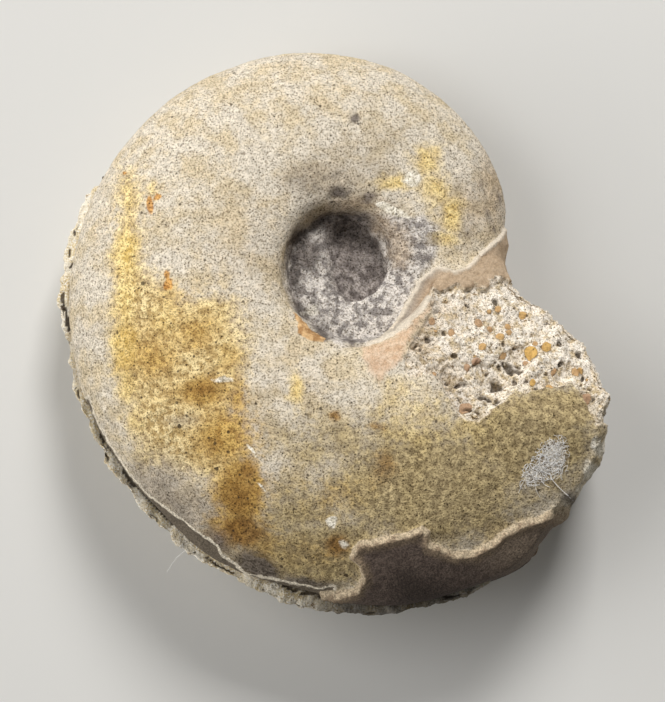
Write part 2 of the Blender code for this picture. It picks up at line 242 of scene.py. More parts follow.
@dataclass
class CoilForm:
    """Growth and section of the coiled shell, with its broken mouth.

    The values repeat those of the solid part, so the fine surface lies where the solid does. Only
    the broken edge is steeper here.
    """

    quarter_radii: tuple = (19.5, 26.3, 33.2, 40.2, 47.0)
    quarter_seams: tuple = (4.6, 5.9, 6.8, 9.5, 11.2)
    early_growth: float = 2.5
    seam_merge: float = 0.002
    first_angle: float = -900.0
    angle_step: float = 1.5
    section_points: int = 140
    section_steps: int = 12
    break_outline: tuple = (
        (276, 40.9), (284, 41.0), (296, 41.0), (302, 40.7), (308, 38.9), (314, 39.1), (320, 38.3),
        (326, 37.0), (332, 35.5), (336, 32.8), (341, 29.8), (345, 25.2), (349, 21.9), (353, 20.3),
        (357, 19.7), (360, 19.55),
    )
    cliff_start: float = 294.0
    cliff_width: float = 1.3
    cliff_height: float = 10.0
    section: tuple = (
        (0.236, 0.105), (0.242, 0.150), (0.252, 0.196), (0.268, 0.232), (0.296, 0.257), (0.336, 0.272),
        (0.390, 0.281), (0.460, 0.284), (0.535, 0.280), (0.615, 0.269), (0.700, 0.250), (0.775, 0.224),
        (0.840, 0.191), (0.895, 0.152), (0.940, 0.112), (0.972, 0.071), (0.992, 0.034), (1.000, 0.000),
    )
    fracture_start: float = 285.0
    fracture_level: float = 8.3
    fracture_slope: tuple = (-0.24, -0.41)
    least_cover: float = 0.05
    hollows: tuple = (
        (14.8, -17.2, 2.6, 1.7), (18.0, -15.2, 1.8, 1.2), (12.4, -14.6, 1.8, 0.9), (20.3, -12.4, 1.5, 1.0),
        (26.3, -14.2, 1.2, 0.9), (16.2, -14.2, 1.2, 0.7), (10.8, -5.4, 1.0, 0.6), (15.2, -4.6, 0.9, 0.5),
    )
    fine_section: np.ndarray = field(init=False)

    def __post_init__(self) -> None:
        """Draw a smooth curve through the section's points."""
        self.fine_section = smooth_curve(np.array(self.section), self.section_steps)

    def spiral(self, quarters: tuple, angle: np.ndarray) -> np.ndarray:
        """Radius of a spiral through its radii at each quarter, with an even growth before them.

        Args:
            quarters: Radii at each quarter of the last turn.
            angle: Angles on the coil.

        Returns:
            One radius an angle.
        """
        logs = np.log(quarters)
        before_first = logs[0] - math.log(self.early_growth) / 4
        knots = np.array([before_first, *logs, 2 * logs[-1] - logs[-2]])
        turn = np.clip(angle, 0.0, TURN) / QUARTER
        quarter = np.minimum(turn.astype(int), 3)
        late = catmull_rom(*(knots[quarter + k] for k in range(4)), turn - quarter)
        early = logs[0] + math.log(self.early_growth) * angle / TURN
        return np.exp(np.where(angle > 0, late, early))

    def natural_radius(self, angle: np.ndarray) -> np.ndarray:
        """Radius of the unbroken outer spiral."""
        return self.spiral(self.quarter_radii, angle)

    def seam_radius(self, angle: np.ndarray) -> np.ndarray:
        """Radius of the seam where a whorl meets the one before."""
        return self.spiral(self.quarter_seams, angle)

    def outline_radius(self, angle: np.ndarray) -> np.ndarray:
        """Radius of the outline as it is now, with the mouth broken off."""
        angles, radii = zip(*self.break_outline)
        broken = np.interp(angle, angles, radii, left=np.inf)
        return np.minimum(self.natural_radius(angle), broken)

    def section_height(self, fraction: np.ndarray) -> np.ndarray:
        """Half-thickness of a whorl at a fraction of its radius, as a fraction of that radius."""
        return np.interp(fraction, self.fine_section[:, 0], self.fine_section[:, 1])

    def flank_height(self, radius: np.ndarray, angle: np.ndarray) -> np.ndarray:
        """Height of the unbroken flank over the middle plane."""
        natural, seam = self.natural_radius(angle), self.seam_radius(angle)
        start = self.section[0][0]
        share = (radius - seam) / (natural - seam)
        return natural * self.section_height(start + share * (1 - start))

    def fracture_height(self, radius: np.ndarray, angle: np.ndarray) -> np.ndarray:
        """Height of the broken face, which never cuts into the whorl before.

        Args:
            radius: Distances from the coil's axis.
            angle: Angles on the coil.

        Returns:
            One value a point.
        """
        turn = np.radians(angle)
        x, y = radius * np.cos(turn), radius * np.sin(turn)
        level = self.fracture_level + self.fracture_slope[0] * x + self.fracture_slope[1] * y
        for hollow_x, hollow_y, reach, depth in self.hollows:
            distance = np.hypot(x - hollow_x, y - hollow_y) / reach
            level = level - depth * np.exp(-(distance**2))
        covered = radius < self.natural_radius(angle - TURN)
        before = self.flank_height(radius, angle - TURN)
        return np.where(covered, np.maximum(level, before + self.least_cover), level)

    def cliff(self, radius: np.ndarray, angle: np.ndarray) -> np.ndarray:
        """Height of the steep broken edge near the outline at the mouth."""
        inward = (radius - self.outline_radius(angle)) / self.cliff_width + 1.0
        curve = self.cliff_height * np.sqrt(np.clip(1.0 - inward**2, 0.0, 1.0))
        return np.where((inward <= 0) | (angle < self.cliff_start), np.inf, curve)

    def whorl_height(self, radius: np.ndarray, angle: np.ndarray) -> np.ndarray:
        """Half-thickness of a whorl, with the broken mouth where the angle reaches it."""
        height = self.flank_height(radius, angle)
        height = np.minimum(height, self.cliff(radius, angle))
        fracture = np.where(angle >= self.fracture_start, self.fracture_height(radius, angle), np.inf)
        return np.minimum(height, fracture)

    def shown_height(self, radius: np.ndarray, angle: np.ndarray) -> np.ndarray:
        """Half-thickness of whichever whorl lies open at a place of the last turn.

        Args:
            radius: Distances from the coil's axis.
            angle: Angles on the coil.

        Returns:
            One value a point.
        """
        height = np.zeros_like(radius)
        for turns in (3, 2, 1, 0):
            whorl = angle - turns * TURN
            open_here = radius >= self.seam_radius(whorl)
            height = np.where(open_here, self.whorl_height(radius, whorl), height)
        return height

    def build(self) -> bpy.types.Object:
        """Sweep the section along the spiral, from a grid that is rolled into a tube.

        Returns:
            The coil as one tube whose turns press into each other.
        """
        rows = int((TURN - self.first_angle) / self.angle_step) + 1
        columns = 2 * self.section_points
        deselect_all()
        bpy.ops.mesh.primitive_grid_add(x_subdivisions=columns - 1, y_subdivisions=rows - 1, size=2.0)
        tube = bpy.context.object
        tube.name = "coil"
        places = read_points(tube)
        angle = self.first_angle + (places[:, 1] + 1) / 2 * (TURN - self.first_angle)
        around = places[:, 0]
        seam = self.seam_radius(angle)
        outline = np.where(angle > 0, self.outline_radius(angle), self.natural_radius(angle))
        radius = seam + self.even_share(np.abs(around)) * (outline - seam)
        height = np.where(np.abs(around) < 1e-6, 0.0, self.whorl_height(radius, angle))
        height = np.copysign(height, -around)
        turn = np.radians(angle)
        write_points(tube, np.column_stack((radius * np.cos(turn), radius * np.sin(turn), height)))
        bpy.ops.object.mode_set(mode="EDIT")
        bpy.ops.mesh.select_all(action="SELECT")
        bpy.ops.mesh.remove_doubles(threshold=self.seam_merge)
        bpy.ops.mesh.select_all(action="DESELECT")
        bpy.ops.mesh.select_non_manifold()
        bpy.ops.mesh.edge_face_add()
        bpy.ops.mesh.select_all(action="SELECT")
        bpy.ops.mesh.normals_make_consistent(inside=False)
        bpy.ops.object.mode_set(mode="OBJECT")
        return tube

    def even_share(self, step: np.ndarray) -> np.ndarray:
        """Place between seam and venter of points that are evenly spread along the section.

        Args:
            step: 1 at the seam and 0 at the venter.

        Returns:
            0 at the seam and 1 at the venter.
        """
        spans = np.linalg.norm(np.diff(self.fine_section, axis=0), axis=1)
        length = np.concatenate(([0.0], np.cumsum(spans)))
        fraction = np.interp((1.0 - step) * length[-1], length, self.fine_section[:, 0])
        start = self.section[0][0]
        return (fraction - start) / (1 - start)


def catmull_rom(
    before: np.ndarray, start: np.ndarray, end: np.ndarray, after: np.ndarray, share: np.ndarray
) -> np.ndarray:
    """A point of the smooth curve through four values, between the middle two.

    Args:
        before: Value before the stretch.
        start: Value where the stretch starts.
        end: Value where it ends.
        after: Value after it.
        share: 0 at its start and 1 at its end.

    Returns:
        The value at that share.
    """
    return 0.5 * (
        2 * start
        + (end - before) * share
        + (2 * before - 5 * start + 4 * end - after) * share**2
        + (3 * start - before - 3 * end + after) * share**3
    )


def smooth_curve(corners: np.ndarray, steps: int) -> np.ndarray:
    """A smooth curve through corners, one a row, with a number of steps between each two."""
    padded = np.vstack((2 * corners[0] - corners[1], corners, 2 * corners[-1] - corners[-2]))
    share = np.linspace(0.0, 1.0, steps, endpoint=False)[:, None]
    pieces = [catmull_rom(*padded[i : i + 4], share) for i in range(len(corners) - 1)]
    return np.vstack((*pieces, corners[-1:]))


def deselect_all() -> None:
    """Leave nothing selected, since an operator acts on all that is."""
    for obj in list(bpy.context.selected_objects):
        obj.select_set(False)


def activate(obj: bpy.types.Object) -> None:
    """Select this object alone and make it active."""
    deselect_all()
    obj.select_set(True)
    bpy.context.view_layer.objects.active = obj


def read_rows(items: bpy.types.bpy_prop_collection, name: str) -> np.ndarray:
    """A vector of each point or face of a mesh, one a row."""
    rows = np.empty(3 * len(items), dtype=np.float32)
    items.foreach_get(name, rows)
    return rows.reshape(-1, 3).astype(float)


def read_points(obj: bpy.types.Object) -> np.ndarray:
    """The places of an object's points, one a row."""
    return read_rows(obj.data.vertices, "co")


def read_normals(obj: bpy.types.Object) -> np.ndarray:
    """The normals at an object's points, one a row."""
    return read_rows(obj.data.vertex_normals, "vector")


def write_points(obj: bpy.types.Object, places: np.ndarray) -> None:
    """Move an object's points."""
    obj.data.vertices.foreach_set("co", places.astype(np.float32).ravel())
    obj.data.update()


def store_field(obj: bpy.types.Object, name: str, values: np.ndarray) -> None:
    """Keep one number a point as an attribute."""
    attribute = obj.data.attributes.new(name, "FLOAT", "POINT")
    attribute.data.foreach_set("value", values.astype(np.float32))


def remesh(obj: bpy.types.Object, voxel: float) -> None:
    """Replace an object's mesh by an even closed one of its outer surface."""
    activate(obj)
    obj.data.remesh_voxel_size = voxel
    obj.data.remesh_voxel_adaptivity = 0.0
    bpy.ops.object.voxel_remesh()


def thin_out(obj: bpy.types.Object, most: int) -> None:
    """Merge the flattest faces of an object until it has no more than a number of triangles.

    Args:
        obj: The object.
        most: The number of triangles.
    """
    triangles = sum(len(face.vertices) - 2 for face in obj.data.polygons)
    if triangles <= most:
        return
    activate(obj)
    modifier = obj.modifiers.new("thin_out", "DECIMATE")
    modifier.ratio = most / triangles
    bpy.ops.object.modifier_apply(modifier=modifier.name)
    log.info("thinned %s out from %d triangles", obj.name, triangles)


def enter_edit_mode(obj: bpy.types.Object, kind: str, chosen: np.ndarray) -> None:
    """Edit an object with these points or faces selected, and nothing else of it.

    Args:
        obj: The active object.
        kind: VERT or FACE.
        chosen: True for each point or face to select.
    """
    bpy.ops.object.mode_set(mode="EDIT")
    bpy.ops.mesh.select_mode(type=kind)
    bpy.ops.mesh.select_all(action="DESELECT")
    bpy.ops.object.mode_set(mode="OBJECT")
    items = obj.data.vertices if kind == "VERT" else obj.data.polygons
    items.foreach_set("select", chosen)
    bpy.ops.object.mode_set(mode="EDIT")


@dataclass
class Resting:
    """How the fossil lies: tip of the coil's plane and the height of its centre."""

    tip: float = 6.0
    centre_height: float = 10.1
    flat_centre: tuple = (-3.0, -10.0)

    def matrix(self) -> Matrix:
        """Turns places of the coil's frame into places of the row's frame, both in millimetres."""
        tip = Matrix.Rotation(math.radians(-self.tip), 4, "X")
        shift = tip @ Vector((*self.flat_centre, 0.0))
        return Matrix.Translation((-shift.x, -shift.y, self.centre_height)) @ tip

    def apply(self, places: np.ndarray) -> np.ndarray:
        """Places of the row's frame in millimetres."""
        matrix = np.array(self.matrix())
        return places @ matrix[:3, :3].T + matrix[:3, 3]


@dataclass
class PictureView:
    """The camera over the fossil, and the picture plane through the coil's centre."""

    elevation: float = 87.0
    distance: float = 350.0
    pixels_per_mm: float = 8.25
    frame_size: tuple = (665, 702)
    centre_pixel: tuple = (346.0, 267.0)
    sensor: float = 36.0
    resting: Resting = field(default_factory=Resting)

    def axes(self) -> tuple[np.ndarray, np.ndarray, np.ndarray]:
        """Right, up and towards the camera."""
        angle = math.radians(self.elevation)
        back = np.array((0.0, -math.cos(angle), math.sin(angle)))
        right = np.array((1.0, 0.0, 0.0))
        return right, np.cross(back, right), back

    def aim(self) -> np.ndarray:
        """The point that the middle of the picture shows, in the row's frame."""
        right, up, _ = self.axes()
        centre = self.resting.apply(np.zeros((1, 3)))[0]
        across = (self.frame_size[0] / 2 - self.centre_pixel[0]) / self.pixels_per_mm
        above = (self.centre_pixel[1] - self.frame_size[1] / 2) / self.pixels_per_mm
        return centre + right * across + up * above

    def project(self, places: np.ndarray) -> np.ndarray:
        """Where points of the row's frame show in the picture plane.

        Args:
            places: Points in millimetres, one a row.

        Returns:
            Millimetres to the right of the coil's centre and above it.
        """
        right, up, back = self.axes()
        aim = self.aim()
        offset = places - aim
        scale = self.distance / (self.distance - offset @ back)
        shown = np.column_stack((offset @ right, offset @ up)) * scale[:, None]
        centre = self.resting.apply(np.zeros((1, 3)))[0] - aim
        return shown - (centre @ right, centre @ up)

    def ray(self, x: float, y: float) -> tuple[Vector, Vector]:
        """The camera's place and the way it looks at a point of the picture plane.

        Args:
            x: Millimetres to the right of the coil's centre.
            y: Millimetres above it.

        Returns:
            The camera's place in millimetres, and the way as a unit vector.
        """
        right, up, back = self.axes()
        centre = self.resting.apply(np.zeros((1, 3)))[0]
        eye = self.aim() + back * self.distance
        target = centre + right * x + up * y
        return Vector(eye), (Vector(target) - Vector(eye)).normalized()

    def place_at(self, x: float, y: float, height: float) -> Vector:
        """The point at this height over the ground that shows at a place of the picture, in metres."""
        eye, way = self.ray(x, y)
        return (eye + way * ((height - eye.z) / way.z)) * MM

    def make_camera(self) -> None:
        """Add the camera at the picture's viewing angle."""
        data = bpy.data.cameras.new("picture_camera")
        data.sensor_width = self.sensor
        long_side = max(self.frame_size)
        data.lens = self.pixels_per_mm * self.distance * self.sensor / long_side
        data.clip_start = 0.01
        data.clip_end = 10.0
        camera = bpy.data.objects.new("picture_camera", data)
        bpy.context.scene.collection.objects.link(camera)
        right, up, back = self.axes()
        turned = Matrix((right, up, back)).transposed().to_4x4()
        camera.matrix_world = Matrix.Translation(Vector(self.aim() + back * self.distance) * MM) @ turned
        bpy.context.scene.camera = camera


@dataclass
class BackRock:
    """Coarse rock left on the back: it fills the umbilicus and stands out as a rim."""

    coil: CoilForm
    view: PictureView
    noise: StoneNoise
    rim_start: float = 156.0
    rim_end: float = 312.0
    overhang: tuple = (
        (156, -1.3), (164, 0.9), (172, 1.3), (188, 1.3), (193, 0.9), (205, 0.7), (222, 0.9), (245, 1.4),
        (262, 1.8), (276, 1.2), (300, 0.6), (312, -1.3),
    )
    rim_ramp: float = 9.0
    rim_top: float = 0.93
    rim_depth: float = 2.8
    ragged_edge: tuple = ((0.17, 0.45), (0.06, 0.3))
    cover: float = 0.9
    hidden: float = -1.3
    fill_depth: float = 11.2
    fill_reach: float = 0.42
    fill_thickness: float = 0.28
    top: float = 0.9
    least_thickness: float = 0.05
    edge_drop: float = 0.6
    roughness: float = 0.55
    grain: float = 3.0
    segments: int = 360
    rings: int = 120
    voxel: float = 0.31
    lumps: tuple = ((2.4, 1.2), (0.24, 0.2))
    bed_height: float = 0.12
    bed_waves: float = 9.0
    bed_sway: float = 2.0
    bed_grain: float = 5.0
    large_grains: tuple = (1.25, 0.75, 0.3)
    small_grains: tuple = (0.7, 0.7, 0.18)
    small_shift: float = 9.0
    plain_share: float = 0.4
    crack_run: float = 10.0
    crack_grain: float = 0.55
    crack_share: tuple = (0.32, 0.5)
    crack_place: tuple = (-2.5, -0.5)
    crack_depth: float = 0.28
    gap_share: float = 0.8
    gap_place: tuple = (-0.15, 0.05)
    gap_level: tuple = (-2.2, -1.4)
    hollow_depth: tuple = (0.3, 0.6)

    def rim(self, angle: np.ndarray) -> np.ndarray:
        """How far the rock takes part at this angle, from 0 to 1."""
        rising = ramp(angle, self.rim_start, self.rim_start + self.rim_ramp)
        return rising * (1.0 - ramp(angle, self.rim_end - self.rim_ramp, self.rim_end))

    def build(self) -> bpy.types.Object:
        """Shape the lens of rock behind the coil, and give it its rough surface.

        Returns:
            The closed rock, in its place.
        """
        deselect_all()
        bpy.ops.mesh.primitive_uv_sphere_add(segments=self.segments, ring_count=self.rings, radius=1.0)
        rock = bpy.context.object
        rock.name = "back_rock"
        write_points(rock, self.lens(read_points(rock)))
        remesh(rock, self.voxel)
        self.dress(rock)
        return rock

    def lens(self, ball: np.ndarray) -> np.ndarray:
        """Move the points of a ball to the lens of rock that the coil lies in.

        Args:
            ball: Points of a ball of radius 1, one a row.

        Returns:
            Points in the coil's frame, in millimetres.
        """
        angle = np.degrees(np.arctan2(ball[:, 1], ball[:, 0])) % TURN
        across = np.clip(np.arccos(np.clip(np.abs(ball[:, 2]), 0, 1)) / (math.pi / 2), 0.0, 1.0)
        turn = np.radians(angle)
        direction = np.column_stack((np.cos(turn), np.sin(turn), np.zeros_like(turn)))
        rim = self.rim(angle)
        angles, widths = zip(*self.overhang)
        ragged = sum(height * self.noise.at(direction, grain) for grain, height in self.ragged_edge)
        outline = self.coil.outline_radius(angle)
        edge = outline + np.interp(angle, angles, widths) + ragged * rim
        fraction = np.sin(across * math.pi / 2)
        radius = fraction * edge
        height = self.coil.shown_height(fraction * outline, angle)
        filling = np.maximum(height, self.fill_thickness * outline)
        depth = np.where(fraction < self.fill_reach, filling, height)
        grains = (self.grain, self.grain / 2.1)
        lumps = self.noise.layers(direction * radius[:, None], grains, (1.0, 0.5))
        depth = depth + self.hidden + (self.cover - self.hidden) * rim + self.roughness * lumps
        depth = np.maximum(depth, self.rim_depth * rim * (1 - ramp(fraction, self.rim_top, 1.0)))
        filled = 1.0 - ramp(fraction, self.fill_reach / 2, self.fill_reach)
        depth = depth + (np.maximum(depth, self.fill_depth) - depth) * filled
        low = -np.maximum(depth, self.top + self.least_thickness)
        places = direction * radius[:, None]
        places[:, 2] = np.where(ball[:, 2] < 0, low, -self.top)
        on_edge = np.abs(ball[:, 2]) < 1e-4
        places[:, 2] = np.where(on_edge, -self.top - self.edge_drop, places[:, 2])
        return places

    def dress(self, rock: bpy.types.Object) -> None:
        """Give the rock its lumps, beds, grains and cracks, and lay it in its place.

        Args:
            rock: The lens of rock in the coil's frame.
        """
        noise = self.noise
        places = read_points(rock)
        lumps = noise.layers(places, *self.lumps)
        sway = self.bed_sway * noise.at(places, self.bed_grain)
        lumps += self.bed_height * np.sin(places[:, 2] * self.bed_waves + sway)
        spacing, reach, height = self.large_grains
        distance, chance = noise.beads(places, spacing)
        lumps += height * dome(distance, reach) * (self.plain_share + chance)
        spacing, reach, height = self.small_grains
        distance, _ = noise.beads(places + self.small_shift, spacing)
        lumps += height * dome(distance, reach)
        cracks = self.cracks(places)
        lumps -= self.crack_depth * cracks
        # The pit field darkens the rock's hollows and the gap under the cast as painted shade, and its
        # cracks.
        store_field(rock, Mark.PIT.value, np.maximum(ramp(-lumps, *self.hollow_depth), cracks))
        world = self.view.resting.apply(places + read_normals(rock) * lumps[:, None])
        world[:, 2] = np.maximum(world[:, 2], 0.0)
        write_points(rock, world * MM)

    def cracks(self, places: np.ndarray) -> np.ndarray:
        """Thin cracks between the layers of the rim, and the gap where it meets the cast, which the finish
        darkens as painted shade.

        Args:
            places: Points of the rock in the coil's frame, one a row.

        Returns:
            0 to 1, one value a point.
        """
        turn = np.arctan2(places[:, 1], places[:, 0])
        ledge = np.hypot(places[:, 0], places[:, 1]) - self.coil.outline_radius(np.degrees(turn) % TURN)
        drawn_out = np.column_stack((turn * self.crack_run, ledge, places[:, 2]))
        cracks = ramp(self.noise.at(drawn_out, self.crack_grain), *self.crack_share)
        cracks = cracks * ramp(ledge, *self.crack_place)
        gap = self.gap_share * (1.0 - ramp(ledge, *self.gap_place)) * ramp(places[:, 2], *self.gap_level)
        return np.maximum(cracks, gap)


@dataclass(frozen=True)
class ShellRemnant:
    """A remnant of the shell that stands out past the cast, by its outline in the picture plane."""

    outline: tuple
    thickness: float
    edge: float
    ragged: float
    lip: float = 0.0

    def distance(self, picture: np.ndarray, wander: np.ndarray) -> np.ndarray:
        """Distance inside the remnant's ragged edge.

        Args:
            picture: Places in the picture plane, one a row.
            wander: How far the edge strays at each place, from -1 to 1 in two directions.

        Returns:
            Millimetres, positive inside.
        """
        return outline_distance(picture + wander * self.ragged, self.outline)

    def rise(self, distance: np.ndarray) -> np.ndarray:
        """How far the shell stands out at a distance inside its edge."""
        lip = self.lip * np.exp(-(((distance - self.edge) / self.edge) ** 2))
        return self.thickness * ramp(distance, -0.05, self.edge) + lip


# Patches of colour for each stain, in the picture plane: middle x and y, half-width, half-height,
# strength, and the turn in degrees of a slanting one.
BLOTS = {
    Mark.YELLOW: (
        (-26.4, 7.5, 1.7, 4.2, 0.45), (-26.7, 2.1, 1.8, 5.5, 0.8), (-26.9, -4.0, 1.7, 4.2, 0.8),
        (-26.9, -9.8, 2.2, 3.4, 1.0), (-26.7, -14.3, 1.7, 2.7, 0.75), (-25.9, -19.2, 1.7, 2.9, 0.55),
        (-23.8, -22.8, 2.4, 2.2, 0.5), (-15.0, -5.2, 3.4, 4.4, 0.35), (-14.5, -10.7, 2.2, 3.2, 0.4),
        (-21.9, -6.4, 3.0, 3.4, 0.45), (9.9, 13.0, 2.4, 2.4, 0.85), (6.0, 10.2, 2.6, 1.3, 0.8),
        (10.8, 9.6, 2.6, 3.0, 0.75), (12.9, 6.0, 1.7, 3.0, 0.9), (11.9, 3.4, 2.4, 1.1, 0.8),
        (-6.1, -14.7, 1.1, 2.7, 0.8), (-23.4, 9.3, 0.8, 1.5, 0.6), (-20.1, -18.5, 4.8, 3.6, 0.25),
        (15.0, -19.2, 3.6, 2.7, 0.4), (16.2, -22.2, 3.0, 2.4, 0.25), (8.5, -18.0, 5.0, 4.0, 0.55),
        (7.5, -14.5, 3.0, 2.6, 0.5),
    ),
    Mark.OCHRE: (
        (-23.8, -10.7, 4.1, 4.4, 0.6), (-17.9, -7.6, 3.6, 3.2, 0.55), (-20.7, -4.0, 3.6, 2.4, 0.35),
        (-17.1, -15.2, 4.1, 2.2, 0.75), (-13.1, -15.9, 1.7, 3.6, 0.6), (-14.6, -20.6, 4.3, 4.2, 0.8),
        (-12.8, -27.0, 3.6, 5.3, 0.85), (-14.3, -31.3, 3.2, 3.2, 0.65), (-10.2, -33.7, 4.8, 2.7, 0.35),
        (-5.6, -34.9, 6.1, 2.7, 0.28), (-1.9, -28.2, 6.1, 3.6, 0.25), (-14.1, -11.3, 2.4, 3.0, 0.4),
    ),
    Mark.BROWN: (
        (-17.1, -14.9, 2.9, 1.1, 0.6), (-16.2, -13.5, 1.5, 1.9, 0.35), (-13.0, -28.2, 2.8, 4.4, 0.55),
        (-12.3, -32.0, 2.8, 2.0, 0.95), (-14.7, -32.5, 1.8, 1.2, 0.6), (-15.9, -21.6, 2.2, 1.5, 0.5),
        (4.6, -24.1, 1.9, 2.4, 0.55), (-1.3, -18.1, 0.8, 0.8, 0.7), (-1.1, -33.7, 1.7, 1.5, 0.7),
        (3.6, -19.3, 1.7, 0.6, 0.5), (-11.9, -24.6, 1.7, 2.2, 0.6),
    ),
    Mark.OLIVE: (
        (-1.9, -34.5, 11.5, 4.6, 0.9), (10.2, -26.5, 14.5, 8.5, 1.0), (21.8, -21.5, 10.0, 6.0, 1.0),
        (-5.6, -29.5, 7.3, 5.4, 0.7), (-10.4, -36.7, 6.1, 2.4, 0.8), (25.1, -17.4, 7.5, 3.6, 1.0),
        (3.5, -20.5, 7.0, 4.6, 0.5), (-3.0, -21.5, 8.0, 5.5, 0.55),
    ),
    # Grey stains; the patches on the lower left, over the umbilicus's top shoulder and at its upper right
    # edge are also painted shade there.
    Mark.GREY: (
        (-22.5, -27.6, 3.6, 6.1, 0.8), (-18.9, -29.5, 3.6, 3.2, 0.8), (-24.4, -24.6, 1.9, 3.6, 0.7),
        (-16.5, -33.1, 2.9, 2.2, 0.6), (-0.7, 13.2, 6.3, 4.5, 0.4), (4.1, 15.4, 6.1, 3.6, 0.35),
        (7.8, 16.6, 3.6, 3.6, 0.25), (-20.0, -18.6, 3.2, 1.3, 0.6), (-10.2, -18.5, 2.4, 6.1, 0.3),
        (-6.8, -25.8, 3.6, 3.6, 0.25), (15.8, 9.3, 1.7, 4.8, 0.35), (12.6, -1.9, 1.5, 0.7, 0.5),
        (-2.9, 10.5, 6.3, 3.0, 0.75), (3.5, 12.0, 5.0, 3.0, 0.45), (5.0, 7.4, 1.9, 0.9, 0.5),
        (-11.0, -2.0, 3.0, 6.0, 0.2),
    ),
    # Dun stains; the patch at (23.8, -16.0) is painted shade under the broken edge, and the one at (20.5,
    # -33.4) is painted light on the dark shell.
    Mark.DUN: (
        (23.8, -16.0, 3.6, 1.0, 0.6), (4.6, 5.0, 3.0, 1.5, 1.0, -42), (6.4, 2.4, 1.7, 2.9, 0.9),
        (14.5, 6.5, 3.6, 5.0, 0.6), (18.0, 9.5, 2.6, 7.5, 0.75), (2.0, 7.6, 4.5, 1.2, 0.9),
        (20.5, -33.4, 5.0, 3.0, 0.9), (9.5, -8.5, 2.6, 5.5, 0.6), (12.5, -5.5, 5.0, 2.0, 0.45),
        (-12.0, 2.0, 7.0, 9.0, 0.35), (-6.0, -14.0, 6.0, 8.0, 0.3), (12.0, -12.5, 3.5, 3.5, 0.5),
        (-14.0, -1.0, 4.0, 8.0, 0.3), (-2.0, 20.0, 9.0, 3.0, 0.2),
    ),
    # Slate stains in the umbilicus; the spot at (1.0, 18.0) is a knob's painted shadow, and the long patches
    # at the lower edge below are painted shade.
    Mark.SLATE: (
        (-6.2, -0.2, 1.0, 3.0, 1.0), (-5.4, 3.0, 1.6, 2.0, 1.0), (-4.4, 1.4, 1.6, 2.6, 0.9),
        (-0.3, 5.4, 3.6, 1.6, 1.0), (0.2, 3.6, 3.4, 1.4, 0.8), (1.0, 1.4, 3.4, 0.7, 0.6, -10),
        (3.2, 2.6, 1.4, 1.6, 0.7), (-1.6, -1.2, 0.7, 1.8, 0.4, 20), (3.6, -0.6, 1.0, 1.6, 0.5),
        (-5.2, -5.4, 0.6, 1.7, 0.9, 40), (-3.0, -7.9, 1.4, 0.6, 0.9, -38), (0.4, -9.0, 1.8, 0.5, 0.6, -8),
        (-3.3, 5.4, 1.5, 0.9, 0.8, 40), (-0.8, 8.9, 1.4, 1.1, 0.8), (2.8, 8.5, 1.7, 1.1, 0.6),
        (-4.4, 7.6, 2.4, 1.0, 0.4, 25), (1.0, 18.0, 0.6, 0.6, 0.95), (18.6, 8.3, 0.35, 1.2, 0.6, 20),
        (17.2, 6.2, 0.4, 1.3, 0.55, 25), (19.4, 10.4, 0.3, 0.9, 0.5, 15), (16.5, 9.8, 0.35, 1.2, 0.5, 15),
        (15.6, 12.4, 0.3, 0.9, 0.45, 15), (18.0, 4.4, 0.4, 1.2, 0.5, 30),
        # Painted shade along the groove at the lower edge, on the side turned from the light.
        (-10.6, -36.3, 3.8, 1.5, 0.95, -28), (-5.0, -38.2, 5.0, 0.8, 0.75, -6),
        (-15.2, -33.2, 3.0, 1.3, 0.65, -38), (-20.5, -29.0, 4.5, 1.1, 0.4, -46),
        (27.3, -28.2, 1.7, 0.9, 0.7, -30), (14.4, 4.9, 1.0, 2.6, 0.45, 10), (13.4, 9.8, 0.9, 2.2, 0.4, -20),
        (10.5, 3.2, 1.5, 1.0, 0.5), (12.4, -2.0, 0.9, 0.5, 0.5), (9.6, 1.2, 1.2, 1.0, 0.5),
    ),
    Mark.ORANGE: (
        (-23.8, 7.6, 0.6, 1.1, 1), (-22.9, 8.6, 0.6, 0.5, 0.8), (-21.6, -2.1, 0.7, 0.7, 1),
        (-21.8, -1.1, 0.4, 0.8, 0.8), (-26.8, 11.4, 0.4, 0.4, 0.7),
    ),
    Mark.WHITE: (
        (8.0, 10.8, 1.4, 1.1, 1, 20), (5.6, 7.0, 2.5, 0.5, 1, -25), (-14.8, -13.7, 1.5, 0.4, 0.75),
        (-4.2, -5.2, 1.8, 1.5, 0.5), (31.0, -17.4, 1.2, 2.0, 0.8), (30.4, -21.6, 0.7, 1.5, 0.8),
        (29.3, -24.6, 0.8, 1.7, 0.85), (28.4, -27.2, 0.7, 1.1, 0.7), (-1.7, -30.9, 0.7, 0.7, 0.9),
        (-0.1, -33.7, 1.0, 0.7, 0.5), (-11.4, -22.2, 0.22, 1.5, 0.9, 38),
        (-10.0, -26.9, 0.22, 1.2, 0.8, 52),
    ),
}


